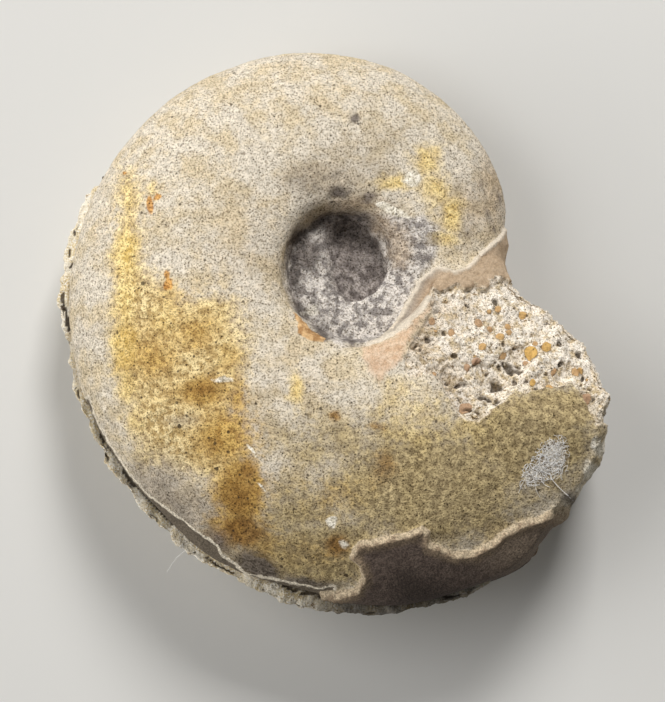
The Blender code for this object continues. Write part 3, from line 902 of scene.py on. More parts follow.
@dataclass
class SurfaceMarks:
    """Where the stains, the shell's remains and the broken rock lie on the shown side."""

    dark_shell: ShellRemnant = ShellRemnant(
        (
            (-3.2, -39.3), (-0.7, -39.2), (1.1, -38.7), (1.6, -37.7), (1.9, -37.5), (1.6, -36.2),
            (0.5, -35.2), (0.7, -34.2), (1.5, -33.1), (3.0, -33.0), (5.5, -32.4), (7.6, -32.0),
            (9.2, -31.3), (10.2, -32.0), (10.3, -33.2), (11.0, -33.6), (13.2, -34.4), (15.3, -34.3),
            (17.0, -33.3), (19.0, -31.8), (21.1, -30.7), (23.3, -30.1), (25.3, -29.1), (26.8, -28.7),
            (29.0, -28.5), (33.0, -30.0), (32.0, -36.0), (25.9, -45.2), (-3.2, -45.2),
        ),
        0.5, 0.5, 0.16, 0.3,
    )
    shell_strip: ShellRemnant = ShellRemnant(
        (
            (-31.2, -15.6), (-30.6, -17.6), (-28.9, -21.0), (-27.4, -23.4), (-25.7, -25.8), (-23.6, -28.0),
            (-21.6, -29.4), (-20.1, -30.4), (-18.5, -31.6), (-17.0, -32.6), (-15.4, -33.7), (-14.8, -34.7),
            (-13.1, -35.9), (-12.0, -36.8), (-10.2, -37.4), (-6.8, -38.2), (-3.2, -38.9), (-1.4, -38.6),
            (-1.4, -41.8), (-6.8, -41.6), (-11.0, -40.4), (-14.4, -39.0), (-17.4, -37.0), (-19.9, -35.2),
            (-22.4, -32.6), (-26.5, -28.0), (-29.5, -23.5), (-32.4, -17.0),
        ),
        -0.22, 0.25, 0.12, 0.12,
    )
    tan_shell: ShellRemnant = ShellRemnant(
        (
            (22.1, 5.5), (19.3, 4.7), (18.7, 3.9), (16.5, 2.1), (15.8, 1.3), (15.0, 0.4), (14.5, -0.1),
            (13.2, -0.5), (12.0, -0.1), (11.0, 0.0), (9.7, -0.8), (8.8, -1.6), (8.2, -2.7), (7.6, -3.9),
            (6.5, -5.6), (5.6, -7.2), (4.1, -8.5), (2.4, -9.1), (2.7, -9.5), (4.1, -9.1), (5.9, -8.2),
            (7.9, -6.7), (9.1, -5.5), (10.2, -4.1), (10.8, -4.6), (14.0, -7.0), (23.5, -7.0),
        ),
        0.28, 0.3, 0.12, 0.12,
    )
    pink_shell: ShellRemnant = ShellRemnant(
        (
            (1.8, -9.6), (4.1, -9.1), (5.9, -8.2), (7.9, -6.7), (9.1, -5.5), (10.2, -4.1), (10.7, -4.0),
            (10.4, -4.7), (9.2, -6.4), (8.1, -8.4), (7.3, -9.9), (6.8, -11.4), (5.1, -12.8), (4.8, -13.6),
            (4.0, -14.1), (2.8, -12.6), (1.9, -11.2),
        ),
        0.06, 0.5, 0.35,
    )
    orange_shell: ShellRemnant = ShellRemnant(
        (
            (-6.4, -5.5), (-5.7, -5.9), (-4.4, -7.3), (-2.5, -8.6), (-2.9, -9.1), (-3.9, -9.1),
            (-5.0, -8.6), (-5.9, -8.1), (-5.8, -6.8),
        ),
        0.22, 0.2, 0.1,
    )
    umbilicus: tuple = (
        (-7.5, 0.6), (-7.3, -2.5), (-6.5, -4.6), (-5.0, -6.2), (-3.8, -7.8), (-2.7, -8.7), (-1.1, -9.5),
        (0.4, -9.6), (1.9, -9.5), (4.2, -8.7), (5.9, -7.6), (7.2, -5.5), (8.0, -3.0), (9.0, -1.3),
        (10.4, 0.1), (11.2, 2.1), (11.6, 4.4), (9.6, 6.2), (6.4, 6.6), (3.2, 6.5), (-0.1, 6.7),
        (-3.0, 6.2), (-5.2, 4.5), (-6.8, 2.5),
    )
    broken: tuple = (
        (10.7, -2.9), (12.0, -2.5), (14.1, -2.8), (16.2, -2.4), (19.0, -1.5), (22.3, -1.8), (35.6, -11.3),
        (35.6, -19.2), (30.3, -19.2), (29.6, -17.3), (28.8, -15.9), (27.9, -14.6), (26.9, -14.1),
        (25.9, -14.4), (23.6, -14.8), (21.7, -15.2), (20.6, -14.9), (19.4, -16.1), (18.2, -16.8),
        (17.2, -18.1), (16.2, -18.8), (14.8, -18.7), (13.5, -18.3), (13.0, -17.2), (12.7, -16.4),
        (11.8, -14.7), (10.9, -13.3), (10.5, -13.0), (9.5, -12.8), (8.5, -13.5), (7.5, -13.2),
        (7.0, -12.2), (7.0, -10.8), (7.8, -9.5), (9.0, -7.4), (10.2, -5.2),
    )
    well: tuple = (
        (4.9, -0.6), (4.8, 1.1), (4.2, 2.8), (3.1, 4.2), (1.9, 5.3), (0.5, 6.0), (-1.0, 6.1), (-2.4, 5.5),
        (-3.6, 4.3), (-3.8, 2.9), (-3.3, 0.7), (-3.0, -1.5), (-2.2, -3.2), (-0.1, -4.3), (1.9, -4.0),
        (3.8, -2.8),
    )
    stained_band: tuple = (
        (-27.3, 11.8), (-25.7, 11.8), (-25.0, 8.1), (-24.7, 3.3), (-24.6, 0.6), (-22.5, -1.6), (-18.9, -3.0),
        (-15.9, -2.8), (-12.8, -4.0), (-12.1, -7.6), (-12.1, -16.1), (-11.9, -20.1), (-10.9, -22.9),
        (-10.2, -27.0), (-9.7, -30.7), (-6.8, -33.7), (-1.9, -36.1), (-0.7, -38.5), (-5.6, -38.5),
        (-10.2, -37.3), (-13.5, -35.0), (-15.3, -33.2), (-16.2, -30.4), (-17.0, -26.5), (-18.9, -25.6),
        (-21.9, -24.1), (-23.8, -22.8), (-25.2, -21.1), (-26.2, -18.5), (-27.2, -14.9), (-27.9, -11.4),
        (-28.0, -4.0), (-27.8, 3.3), (-27.5, 5.7),
    )
    lint_patch: tuple = (
        (21.3, -26.8), (21.6, -24.5), (22.7, -23.2), (23.4, -22.1), (24.1, -21.3), (25.3, -20.6),
        (26.3, -20.7), (26.8, -21.3), (26.9, -23.3), (26.7, -24.6), (26.5, -25.6), (25.3, -25.5),
        (24.1, -25.8), (22.9, -26.3),
    )
    pits: tuple = (
        (10.8, -4.7, 0.36), (15.0, -4.4, 0.3), (20.4, -4.7, 0.3), (8.7, -9.6, 0.42), (20.1, -12.0, 0.75),
        (19.1, -12.0, 0.6), (18.2, -14.0, 0.6), (16.7, -15.6, 0.48), (17.9, -15.6, 0.48),
        (14.1, -13.9, 0.61), (13.4, -13.6, 0.5), (26.2, -14.5, 0.36), (26.4, -13.0, 0.3), (23.5, -12.7, 0.36),
        (24.4, -12.6, 0.34), (15.0, -16.7, 0.48), (15.9, -17.0, 0.4), (18.7, -17.1, 0.42), (11.4, -7.0, 0.3),
        (12.6, -4.0, 0.24), (12.9, -15.4, 0.3), (21.9, -13.4, 0.4), (16.8, -13.0, 0.35),
    )
    ooids: tuple = (
        (22.4, -10.3, 0.85, 1.0), (24.4, -9.5, 0.61, 0.9), (18.8, -8.2, 0.55, 0.6), (19.8, -6.9, 0.42, 0.5),
        (16.2, -6.5, 0.55, 0.2), (21.5, -5.6, 0.48, 0.7), (16.6, -9.5, 0.48, 0.6), (15.9, -11.4, 0.55, 0.0),
        (14.8, -12.1, 0.48, 0.1), (14.8, -16.5, 0.61, 0.1), (29.3, -15.5, 0.67, 0.1), (10.6, -6.3, 0.4, 0.2),
        (24.9, -14.2, 0.5, 0.6), (28.4, -12.3, 0.4, 0.7), (22.8, -13.6, 0.4, 0.9), (17.6, -7.2, 0.36, 0.3),
        (25.6, -12.4, 0.36, 0.3), (19.4, -10.6, 0.4, 0.4), (12.9, -7.7, 0.42, 0.3), (18.5, -4.9, 0.4, 0.5),
    )
    bulges: tuple = (
        (27.0, -31.0, 4.5, 4.0, 0.9), (21.5, -36.0, 5.0, 3.0, 0.7), (30.8, -24.0, 2.5, 4.5, 0.7),
        (31.5, -18.5, 2.0, 3.5, 0.3), (-17.0, -35.6, 7.0, 4.5, 0.65),
    )
    notches: tuple = ((20.9, -0.2, 2.0, 2.6, 0.9), (20.3, 4.4, 1.7, 1.9, 0.55))
    worn_creases: tuple = ((19.6, 2.2, 2.8), (11.0, -1.0, 1.4))
    crumbled: tuple = (
        (31.6, -17.5, 1.6, 4.2, 1.0), (30.6, -24.0, 1.6, 4.5, 0.8), (27.8, -30.5, 2.0, 2.4, 0.7),
    )
    mould_zones: tuple = (
        (16.5, -15.0, 4.0, 2.6, 1.0), (20.5, -12.5, 3.6, 1.9, 0.8), (26.3, -13.4, 3.0, 2.2, 0.9),
        (13.5, -13.0, 3.0, 2.0, 0.7), (12.0, -8.5, 3.0, 3.5, 0.45), (28.5, -16.5, 2.5, 2.5, 0.7),
        (11.5, -4.8, 2.6, 1.6, 0.4), (20.0, -6.0, 4.0, 2.0, 0.25),
    )
    ooid_zones: tuple = (
        (21.5, -10.0, 6.5, 4.5, 0.9), (27.0, -13.5, 3.5, 3.0, 0.9), (14.5, -10.5, 5.0, 5.0, 0.6),
        (18.0, -5.5, 5.0, 2.5, 0.5),
    )
    dents: tuple = (
        (1.0, 18.1, 0.6, 0.3), (-0.7, 10.9, 0.7, 0.35), (-1.2, 8.4, 0.9, 0.4), (-3.6, 9.4, 1.1, 0.15),
        (-12.4, 8.0, 0.8, 0.15), (5.0, -26.5, 0.9, 0.2), (3.4, -22.9, 0.8, 0.2), (18.3, -26.8, 0.7, 0.2),
        (14.2, -24.6, 0.8, 0.2), (-16.0, 16.8, 0.9, 0.15), (9.3, 20.1, 0.9, 0.15),
    )
    wander_grains: tuple = ((1.6, 0.7), (0.8, 0.6))
    wander_shifts: tuple = (11.0, 53.0)
    drift_grain: float = 5.0
    drift_shifts: tuple = (3.0, 71.0)
    drift_reach: float = 2.0
    drift_from: tuple = (-26.0, -20.0)
    facing_levels: tuple = (-1.0, 0.4)
    outside: float = -3.0
    far_outside: float = -6.0
    shell_foot: float = 5.2
    foot_wander: float = 1.2
    chipped_more: float = 3.0
    chipped_levels: tuple = (0.5, 4.0)
    cliff_margin: float = 6.0
    cliff_drop: float = 0.35
    cliff_most: float = 2.0
    broken_stray: tuple = (0.22, 0.7)
    broken_stray_from: tuple = (-7.0, -4.0)
    umbilicus_stray: float = 0.3
    band_stray: float = 0.5
    blot_stray: float = 0.35
    well_stray: float = 0.1
    well_margin: float = 0.1
    well_walls: tuple = (0.8, 2.4)
    well_wall_from: tuple = (-0.5, 2.5)
    lint_stray: float = 0.6
    lint_edge: tuple = (-0.3, 0.8)

    def measure(
        self, places: np.ndarray, coil: CoilForm, view: PictureView, noise: StoneNoise
    ) -> dict[Mark, np.ndarray]:
        """Work out every field at places of the coil's frame.

        Args:
            places: Points of the surface in millimetres, one a row.
            coil: The coil's form.
            view: The picture plane.
            noise: Noise that makes the edges ragged.

        Returns:
            A value a point for each mark: millimetres for edges, and a share for stains.
        """
        z = places[:, 2]
        picture = view.project(view.resting.apply(places))
        wander = np.column_stack(
            [noise.layers(places + shift, *self.wander_grains) for shift in self.wander_shifts]
        )
        fields = {Mark.BROKEN: self.broken_rock(places, coil, picture, wander)}
        chipped = wander * (1.0 + self.chipped_more * ramp(-z, *self.chipped_levels))[:, None]
        foot = z + self.shell_foot + self.foot_wander * wander[:, 0]
        for mark, shell, stray in (
            (Mark.DARK_SHELL, self.dark_shell, chipped),
            (Mark.STRIP, self.shell_strip, wander),
            (Mark.TAN_SHELL, self.tan_shell, chipped),
        ):
            fields[mark] = np.minimum(shell.distance(picture, stray), foot)
        for mark, shell in ((Mark.PINK_SHELL, self.pink_shell), (Mark.ORANGE_SHELL, self.orange_shell)):
            fields[mark] = np.where(z > 1, shell.distance(picture, wander), self.outside)
        inside = outline_distance(picture + wander * self.umbilicus_stray, self.umbilicus)
        fields[Mark.UMBILICUS] = np.where(z > 0, inside, self.outside)
        drift = np.column_stack([noise.at(places + shift, self.drift_grain) for shift in self.drift_shifts])
        drift = drift * self.drift_reach * ramp(picture[:, 0], *self.drift_from)[:, None]
        band = outline_distance(picture + wander * self.band_stray + drift, self.stained_band)
        fields[Mark.BAND] = np.where(z > -0.5, band, self.far_outside)
        facing = ramp(z, *self.facing_levels)
        for mark, blots in BLOTS.items():
            fields[mark] = blot_field(picture + wander * self.blot_stray, blots) * facing
        # The well's share sinks the umbilicus's deep middle, and the finish darkens it there as painted
        # shade.
        deep = outline_distance(picture + wander * self.well_stray, self.well) + self.well_margin
        steep, gentler = self.well_walls
        wall = steep + gentler * ramp(-picture[:, 0], *self.well_wall_from)
        fields[Mark.WELL] = ramp(deep / wall, 0.0, 1.0) * facing
        tuft = outline_distance(picture + wander * self.lint_stray, self.lint_patch)
        fields[Mark.LINT] = ramp(tuft, *self.lint_edge)
        return fields

    def broken_rock(
        self, places: np.ndarray, coil: CoilForm, picture: np.ndarray, wander: np.ndarray
    ) -> np.ndarray:
        """Distance inside the broken rock: its outline from above, and the steep end under the flank.

        Args:
            places: Points of the surface.
            coil: The coil's form.
            picture: The points in the picture plane.
            wander: How far the edge strays at each.

        Returns:
            One value a point.
        """
        x, y, z = places.T
        angle = np.degrees(np.arctan2(y, x)) % TURN
        flank = coil.flank_height(np.hypot(x, y), angle)
        flank = np.where(angle > coil.cliff_start - self.cliff_margin, flank, 0.0)
        cliff = flank - np.abs(z) - self.cliff_drop
        least, more = self.broken_stray
        stray = least + more * ramp(picture[:, 1], *self.broken_stray_from)
        shown = outline_distance(picture + wander * stray[:, None], self.broken)
        return np.where(z > 0.3, shown, np.minimum(cliff, self.cliff_most))


@dataclass
class Relief:
    """Small forms of the cast: how far each point stands out past the plain form."""

    noise: StoneNoise
    marks: SurfaceMarks
    worn: tuple = ((7.0, 3.2, 1.3), (0.10, 0.06, 0.03))
    sand: tuple = ((0.8, 0.45), (0.04, 0.035))
    sand_lost: float = 0.8
    smooth_shells: tuple = ((Mark.DARK_SHELL, 0.6), (Mark.TAN_SHELL, 0.3), (Mark.PINK_SHELL, 0.3))
    broken_edge: tuple = (-0.05, 0.3)
    broken_reach: float = -0.4
    lumps: tuple = ((3.4, 1.5, 0.5), (0.34, 0.42, 0.10))
    bead_spacing: float = 0.62
    bead_reach: float = 0.6
    bead_height: float = 0.2
    ooid_spacing: float = 1.15
    ooid_shift: float = 5.0
    ooid_radius: float = 0.36
    ooid_share: float = 0.32
    ooid_height: float = 0.1
    hue_stride: float = 37.0
    hue_most: float = 0.8
    placed_height: float = 0.28
    placed_ring: tuple = (0.14, 1.12, 0.14)
    mould_radius: tuple = (0.42, 0.25)
    mould_share: tuple = (0.08, 0.55)
    mould_depth: float = 0.5
    pit_stray: tuple = (0.9, 0.5)
    pit_shifts: tuple = (5.0, 23.0)
    pit_ragged: tuple = (41.0, 0.7, 0.85, 0.2, 1.1)
    pit_shape: tuple = (0.7, 1.35)
    pit_depth: float = 2.7
    broken_depth: float = 0.35
    step_depth: float = 0.5
    step_place: tuple = ((0.0, 0.3), (0.8, 3.6), (10.0, 13.5))
    well_depth: float = 1.7
    groove_depth: float = 0.25
    groove_width: float = 0.28
    groove_from: tuple = (-2.0, 3.0)
    rib_height: float = 0.05
    rib_count: int = 62
    rib_lean: float = 0.12
    rib_place: tuple = ((11.0, 15.0), (12.0, 17.0), (0.0, 3.0), (2.0, 8.0))
    crumbs: tuple = ((1.3, 0.6), (0.42, 0.22))

    def rise(self, places: np.ndarray, picture: np.ndarray, fields: dict) -> np.ndarray:
        """Work out the rise at each point, and add the fields of the broken rock's grains.

        Args:
            places: Points of the surface in millimetres, one a row.
            picture: The same points in the picture plane.
            fields: Values a point for each mark; three are added.

        Returns:
            Millimetres, one value a point.
        """
        marks, layers = self.marks, self.noise.layers
        shell = np.zeros(len(places))
        for mark, edge in self.smooth_shells:
            shell = np.maximum(shell, ramp(fields[mark], 0.0, edge))
        broken = ramp(fields[Mark.BROKEN], *self.broken_edge)
        rise = layers(places, *self.worn)
        rise += layers(places, *self.sand) * (1.0 - self.sand_lost * shell) * (1.0 - broken)
        rise += self.rubble(places, picture, fields) * broken
        rise -= self.well_depth * fields[Mark.WELL]
        left_rim = ramp(-picture[:, 0] - picture[:, 1], *self.groove_from)
        rise -= self.groove_depth * left_rim * np.exp(-((fields[Mark.UMBILICUS] / self.groove_width) ** 2))
        for x, y, reach, depth in marks.dents:
            distance = np.hypot(picture[:, 0] - x, picture[:, 1] - y) / reach
            rise -= depth * np.exp(-(distance**2)) * (places[:, 2] > 0)
        rise += self.ribs(places, picture)
        rise += blot_field(picture, marks.bulges) * ramp(-places[:, 2], -6.0, 0.0)
        rise -= blot_field(picture, marks.notches)
        rise += layers(places, *self.crumbs) * blot_field(picture, marks.crumbled)
        rise += marks.dark_shell.rise(fields[Mark.DARK_SHELL])
        rise += marks.shell_strip.rise(fields[Mark.STRIP])
        rise += marks.tan_shell.rise(fields[Mark.TAN_SHELL]) * (1.0 - broken)
        rise += marks.pink_shell.rise(fields[Mark.PINK_SHELL])
        rise += marks.orange_shell.rise(fields[Mark.ORANGE_SHELL])
        return rise

    def ribs(self, places: np.ndarray, picture: np.ndarray) -> np.ndarray:
        """Faint folds of growth on the left flank, fading out towards the coil's middle and the top.

        Args:
            places: Points of the surface.
            picture: The points in the picture plane.

        Returns:
            One value a point.
        """
        angle = np.arctan2(places[:, 1], places[:, 0])
        radius = np.hypot(places[:, 0], places[:, 1])
        across, outwards, up, below = self.rib_place
        where = ramp(-picture[:, 0], *across) * ramp(radius, *outwards) * ramp(places[:, 2], *up)
        where *= ramp(-picture[:, 1], *below)
        return self.rib_height * where * np.sin(angle * self.rib_count + radius * self.rib_lean)

    def rubble(self, places: np.ndarray, picture: np.ndarray, fields: dict) -> np.ndarray:
        """Relief of the broken rock: grains, moulds of lost grains, ooids and a step at its lower edge.

        Args:
            places: Points of the surface in millimetres, one a row.
            picture: The same points in the picture plane.
            fields: Values a point for each mark, to which those of moulds, ooids and hues are added.

        Returns:
            Millimetres, one value a point, and 0 far from the broken rock.
        """
        noise, marks = self.noise, self.marks
        chosen = np.flatnonzero(fields[Mark.BROKEN] > self.broken_reach)
        at, shown, inside = places[chosen], picture[chosen], fields[Mark.BROKEN][chosen]
        rise = noise.layers(at, *self.lumps) - self.broken_depth
        distance, _ = noise.beads(at, self.bead_spacing)
        rise += self.bead_height * dome(distance, self.bead_reach)
        distance, chance = noise.beads(at + self.ooid_shift, self.ooid_spacing)
        least, more = self.mould_share
        held = chance < least + more * blot_field(shown, marks.mould_zones)
        radius, smaller = self.mould_radius
        mould = ramp(radius - smaller * chance - distance, 0.0, 0.16) * held
        kept = chance > 1.0 - self.ooid_share * blot_field(shown, marks.ooid_zones)
        bead = ramp(self.ooid_radius - distance, 0.0, 0.08) * kept
        hue = (chance * self.hue_stride) % 1.0 * self.hue_most
        rise += self.ooid_height * bead
        ring_depth, ring_place, ring_width = self.placed_ring
        for x, y, reach, tint in marks.ooids:
            away = np.hypot(shown[:, 0] - x, shown[:, 1] - y) / reach
            rise += self.placed_height * reach * np.sqrt(np.clip(1.0 - away**2, 0.0, 1.0))
            rise -= ring_depth * np.exp(-(((away - ring_place) / ring_width) ** 2))
            around = 1.0 - ramp(1.3 - away, 0.0, 0.2)
            mould *= around
            bead = np.maximum(bead * around, ramp(1.0 - away, -0.05, 0.12))
            hue = np.where(away < 1.1, tint, hue)
        mould = self.dig_pits(at, shown, mould)
        rise -= self.mould_depth * mould
        drop, end, below = self.step_place
        step = ramp(inside, *drop) * (1.0 - ramp(inside, *end)) * ramp(-shown[:, 1], *below)
        rise -= self.step_depth * step
        for mark, values in ((Mark.PIT, mould), (Mark.OOID, bead), (Mark.HUE, hue)):
            fields[mark] = np.zeros(len(places))
            fields[mark][chosen] = values
        whole = np.zeros(len(places))
        whole[chosen] = rise
        return whole

    def dig_pits(self, at: np.ndarray, shown: np.ndarray, mould: np.ndarray) -> np.ndarray:
        """Add the placed pits, each broader than high and ragged, to the moulds of lost grains.

        Args:
            at: Points of the broken rock.
            shown: The points in the picture plane.
            mould: Depth of the moulds at each.

        Returns:
            Depth of moulds and pits.
        """
        grain, reach_out = self.pit_stray
        stray = np.column_stack([self.noise.at(at + shift, grain) for shift in self.pit_shifts]) * reach_out
        shift, grain, usual, least, most = self.pit_ragged
        ragged = np.clip(usual + self.noise.at(at + shift, grain), least, most)
        flatter, steeper = self.pit_shape
        for x, y, reach in self.marks.pits:
            off = shown + stray - (x, y)
            away = np.hypot(off[:, 0] * flatter, off[:, 1] * steeper) / reach
            mould = np.maximum(mould, self.pit_depth * reach * np.exp(-(away**3)) * ragged)
        return mould


@dataclass
class Cast:
    """The limestone cast, as one closed surface that is then parted at the level of the back rock."""

    coil: CoilForm
    view: PictureView
    noise: StoneNoise
    marks: SurfaceMarks
    voxel: float = 0.27
    most_triangles: int = 194_000
    crease_steps: int = 40
    crease_floor: float = -3.0
    broken_margin: float = -0.3
    shell_edge: tuple = (0.3, 0.8)
    umbilicus_edge: float = 0.5
    least_height: float = 0.02
    parting: float = -0.9

    def build(self) -> list[bpy.types.Object]:
        """Make the fine surface with its relief and its fields.

        Returns:
            The shown side and the back side, each closed and in its place.
        """
        body = self.coil.build()
        remesh(body, self.voxel)
        log.info("remeshed the cast: %d faces", len(body.data.polygons))
        self.wear_creases(body)
        self.refine(body)
        places = read_points(body)
        normals = read_normals(body)
        fields = self.marks.measure(places, self.coil, self.view, self.noise)
        picture = self.view.project(self.view.resting.apply(places))
        places += normals * Relief(self.noise, self.marks).rise(places, picture, fields)[:, None]
        for mark, values in fields.items():
            store_field(body, mark.value, values)
        world = self.view.resting.apply(places)
        world[:, 2] = np.maximum(world[:, 2], self.least_height)
        write_points(body, world * MM)
        body.name = "cast_shown_side"
        back = self.part(body)
        thin_out(body, self.most_triangles)
        return [body, back]

    def wear_creases(self, body: bpy.types.Object) -> None:
        """Round off the sharp creases where the mouth's cut end meets the whorl before.

        Args:
            body: The cast in the coil's frame.
        """
        places = read_points(body)
        picture = self.view.project(self.view.resting.apply(places))
        near = np.zeros(len(places), dtype=bool)
        for x, y, reach in self.marks.worn_creases:
            near |= np.hypot(picture[:, 0] - x, picture[:, 1] - y) < reach
        enter_edit_mode(body, "VERT", near & (places[:, 2] > self.crease_floor))
        bpy.ops.mesh.vertices_smooth(factor=0.5, repeat=self.crease_steps)
        bpy.ops.object.mode_set(mode="OBJECT")

    def refine(self, body: bpy.types.Object) -> None:
        """Split the faces of the broken rock and of the edges of shell and umbilicus once more.

        Args:
            body: The cast in the coil's frame.
        """
        middles = read_rows(body.data.polygons, "center")
        fields = self.marks.measure(middles, self.coil, self.view, self.noise)
        chosen = (fields[Mark.BROKEN] > self.broken_margin) & (middles[:, 2] > -0.5)
        place, reach = self.shell_edge
        for mark in (Mark.DARK_SHELL, Mark.TAN_SHELL):
            chosen |= np.abs(fields[mark] - place) < reach
        chosen |= (np.abs(fields[Mark.UMBILICUS]) < self.umbilicus_edge) & (middles[:, 2] > 0)
        log.info("refining %d faces", chosen.sum())
        enter_edit_mode(body, "FACE", chosen)
        bpy.ops.mesh.subdivide(number_cuts=1)
        bpy.ops.object.mode_set(mode="OBJECT")

    def part(self, body: bpy.types.Object) -> bpy.types.Object:
        """Part the cast along the level of the back rock's top, each side closed.

        Args:
            body: The whole cast, of which the shown side stays.

        Returns:
            The back side.
        """
        back = body.copy()
        back.data = body.data.copy()
        back.name = "cast_back_side"
        bpy.context.scene.collection.objects.link(back)
        matrix = self.view.resting.matrix()
        level = matrix @ Vector((0.0, 0.0, self.parting)) * MM
        axis = matrix.to_3x3() @ Vector((0.0, 0.0, 1.0))
        for side, clear_above in ((body, False), (back, True)):
            activate(side)
            bpy.ops.object.mode_set(mode="EDIT")
            bpy.ops.mesh.select_all(action="SELECT")
            bpy.ops.mesh.bisect(
                plane_co=level, plane_no=axis, use_fill=True, clear_outer=clear_above,
                clear_inner=not clear_above, threshold=1e-7,
            )
            bpy.ops.object.mode_set(mode="OBJECT")
        return back


class Step(Enum):
    """A step of a material: its kind of node, the inputs it takes in order, its output and its choices."""

    PLACE = ("ShaderNodeTexCoord", (), "Object", {})
    FIELD = ("ShaderNodeAttribute", (), "Fac", {})
    SCALE = ("ShaderNodeVectorMath", (0, "Scale"), 0, {"operation": "SCALE"})
    SHIFT = ("ShaderNodeVectorMath", (0, 1), 0, {"operation": "ADD"})
    AXES = ("ShaderNodeSeparateXYZ", (0,), 0, {})
    NOISE = ("ShaderNodeTexNoise", ("Vector", "Scale", "Detail", "Roughness"), "Fac", {})
    CELLS = ("ShaderNodeTexVoronoi", ("Vector", "Scale"), "Distance", {})
    DRAW = ("ShaderNodeSeparateColor", (0,), 0, {})
    SPREAD = ("ShaderNodeMapRange", (0, 1, 2, 3, 4), 0, {"interpolation_type": "SMOOTHSTEP"})
    ADD = ("ShaderNodeMath", (0, 1), 0, {"operation": "ADD"})
    SUBTRACT = ("ShaderNodeMath", (0, 1), 0, {"operation": "SUBTRACT"})
    MULTIPLY = ("ShaderNodeMath", (0, 1), 0, {"operation": "MULTIPLY"})
    GREY = ("ShaderNodeCombineColor", (0, 1, 2), 0, {})
    MIX = ("ShaderNodeMix", (6, 7, 0), 2, {"data_type": "RGBA"})
    TINT = ("ShaderNodeMix", (6, 7, 0), 2, {"data_type": "RGBA", "blend_type": "MULTIPLY"})
    BUMP = ("ShaderNodeBump", ("Height", "Strength", "Distance"), 0, {})


@dataclass(frozen=True)
class Tone:
    """Two colours of a stone, and the range of a pattern over which the first turns to the second."""

    first: str
    second: str
    low: float = 0.3
    high: float = 0.7


@dataclass(frozen=True)
class Wash:
    """A colour over the stone, and the range of a pattern or mark over which it comes up."""

    colour: str
    low: float
    high: float
    strength: float = 1.0


@dataclass(frozen=True)
class Edge:
    """The edge of a mark: from where to where a colour grows inside it, and how far the edge strays."""

    mark: Mark
    low: float
    high: float
    ragged: float


@dataclass(frozen=True)
class Stain:
    """A layer of two mottled colours that a mark lays over the stone."""

    mark: Mark
    dark: str
    light: str
    strength: float = 1.0
    low: float = 0.1
    high: float = 0.7
    wander: float = 0.5


@dataclass
class Finish:
    """A material, and the one way to add a node to it."""

    name: str
    roughness: float

    def start(self) -> None:
        """Make the plain material."""
        self.material = bpy.data.materials.new(self.name)
        self.material.use_nodes = True
        self.tree = self.material.node_tree
        self.shader = self.tree.nodes["Principled BSDF"]
        self.shader.inputs["Roughness"].default_value = self.roughness
        self.fields: dict[Mark, Socket] = {}

    def add(self, step: Step, *inputs: "Socket | Mark | float | str | tuple") -> Socket:
        """Add a node with its settings and its links.

        Args:
            step: The kind of node with its choices.
            inputs: For each input, in the step's order, a socket, a mark, a number or a hex colour.

        Returns:
            The node's output.
        """
        kind, names, output, choices = step.value
        node = self.tree.nodes.new(kind)
        for choice, value in choices.items():
            setattr(node, choice, value)
        for name, value in zip(names, inputs):
            if isinstance(value, Mark):
                value = self.read_mark(value)
            if isinstance(value, Socket):
                self.tree.links.new(value, node.inputs[name])
            else:
                node.inputs[name].default_value = linear_colour(value) if isinstance(value, str) else value
        return node.outputs[output]

    def read_mark(self, mark: Mark) -> Socket:
        """The field of a mark on the mesh, read once for the whole material."""
        if mark not in self.fields:
            self.fields[mark] = self.add(Step.FIELD)
            self.fields[mark].node.attribute_name = mark.value
        return self.fields[mark]


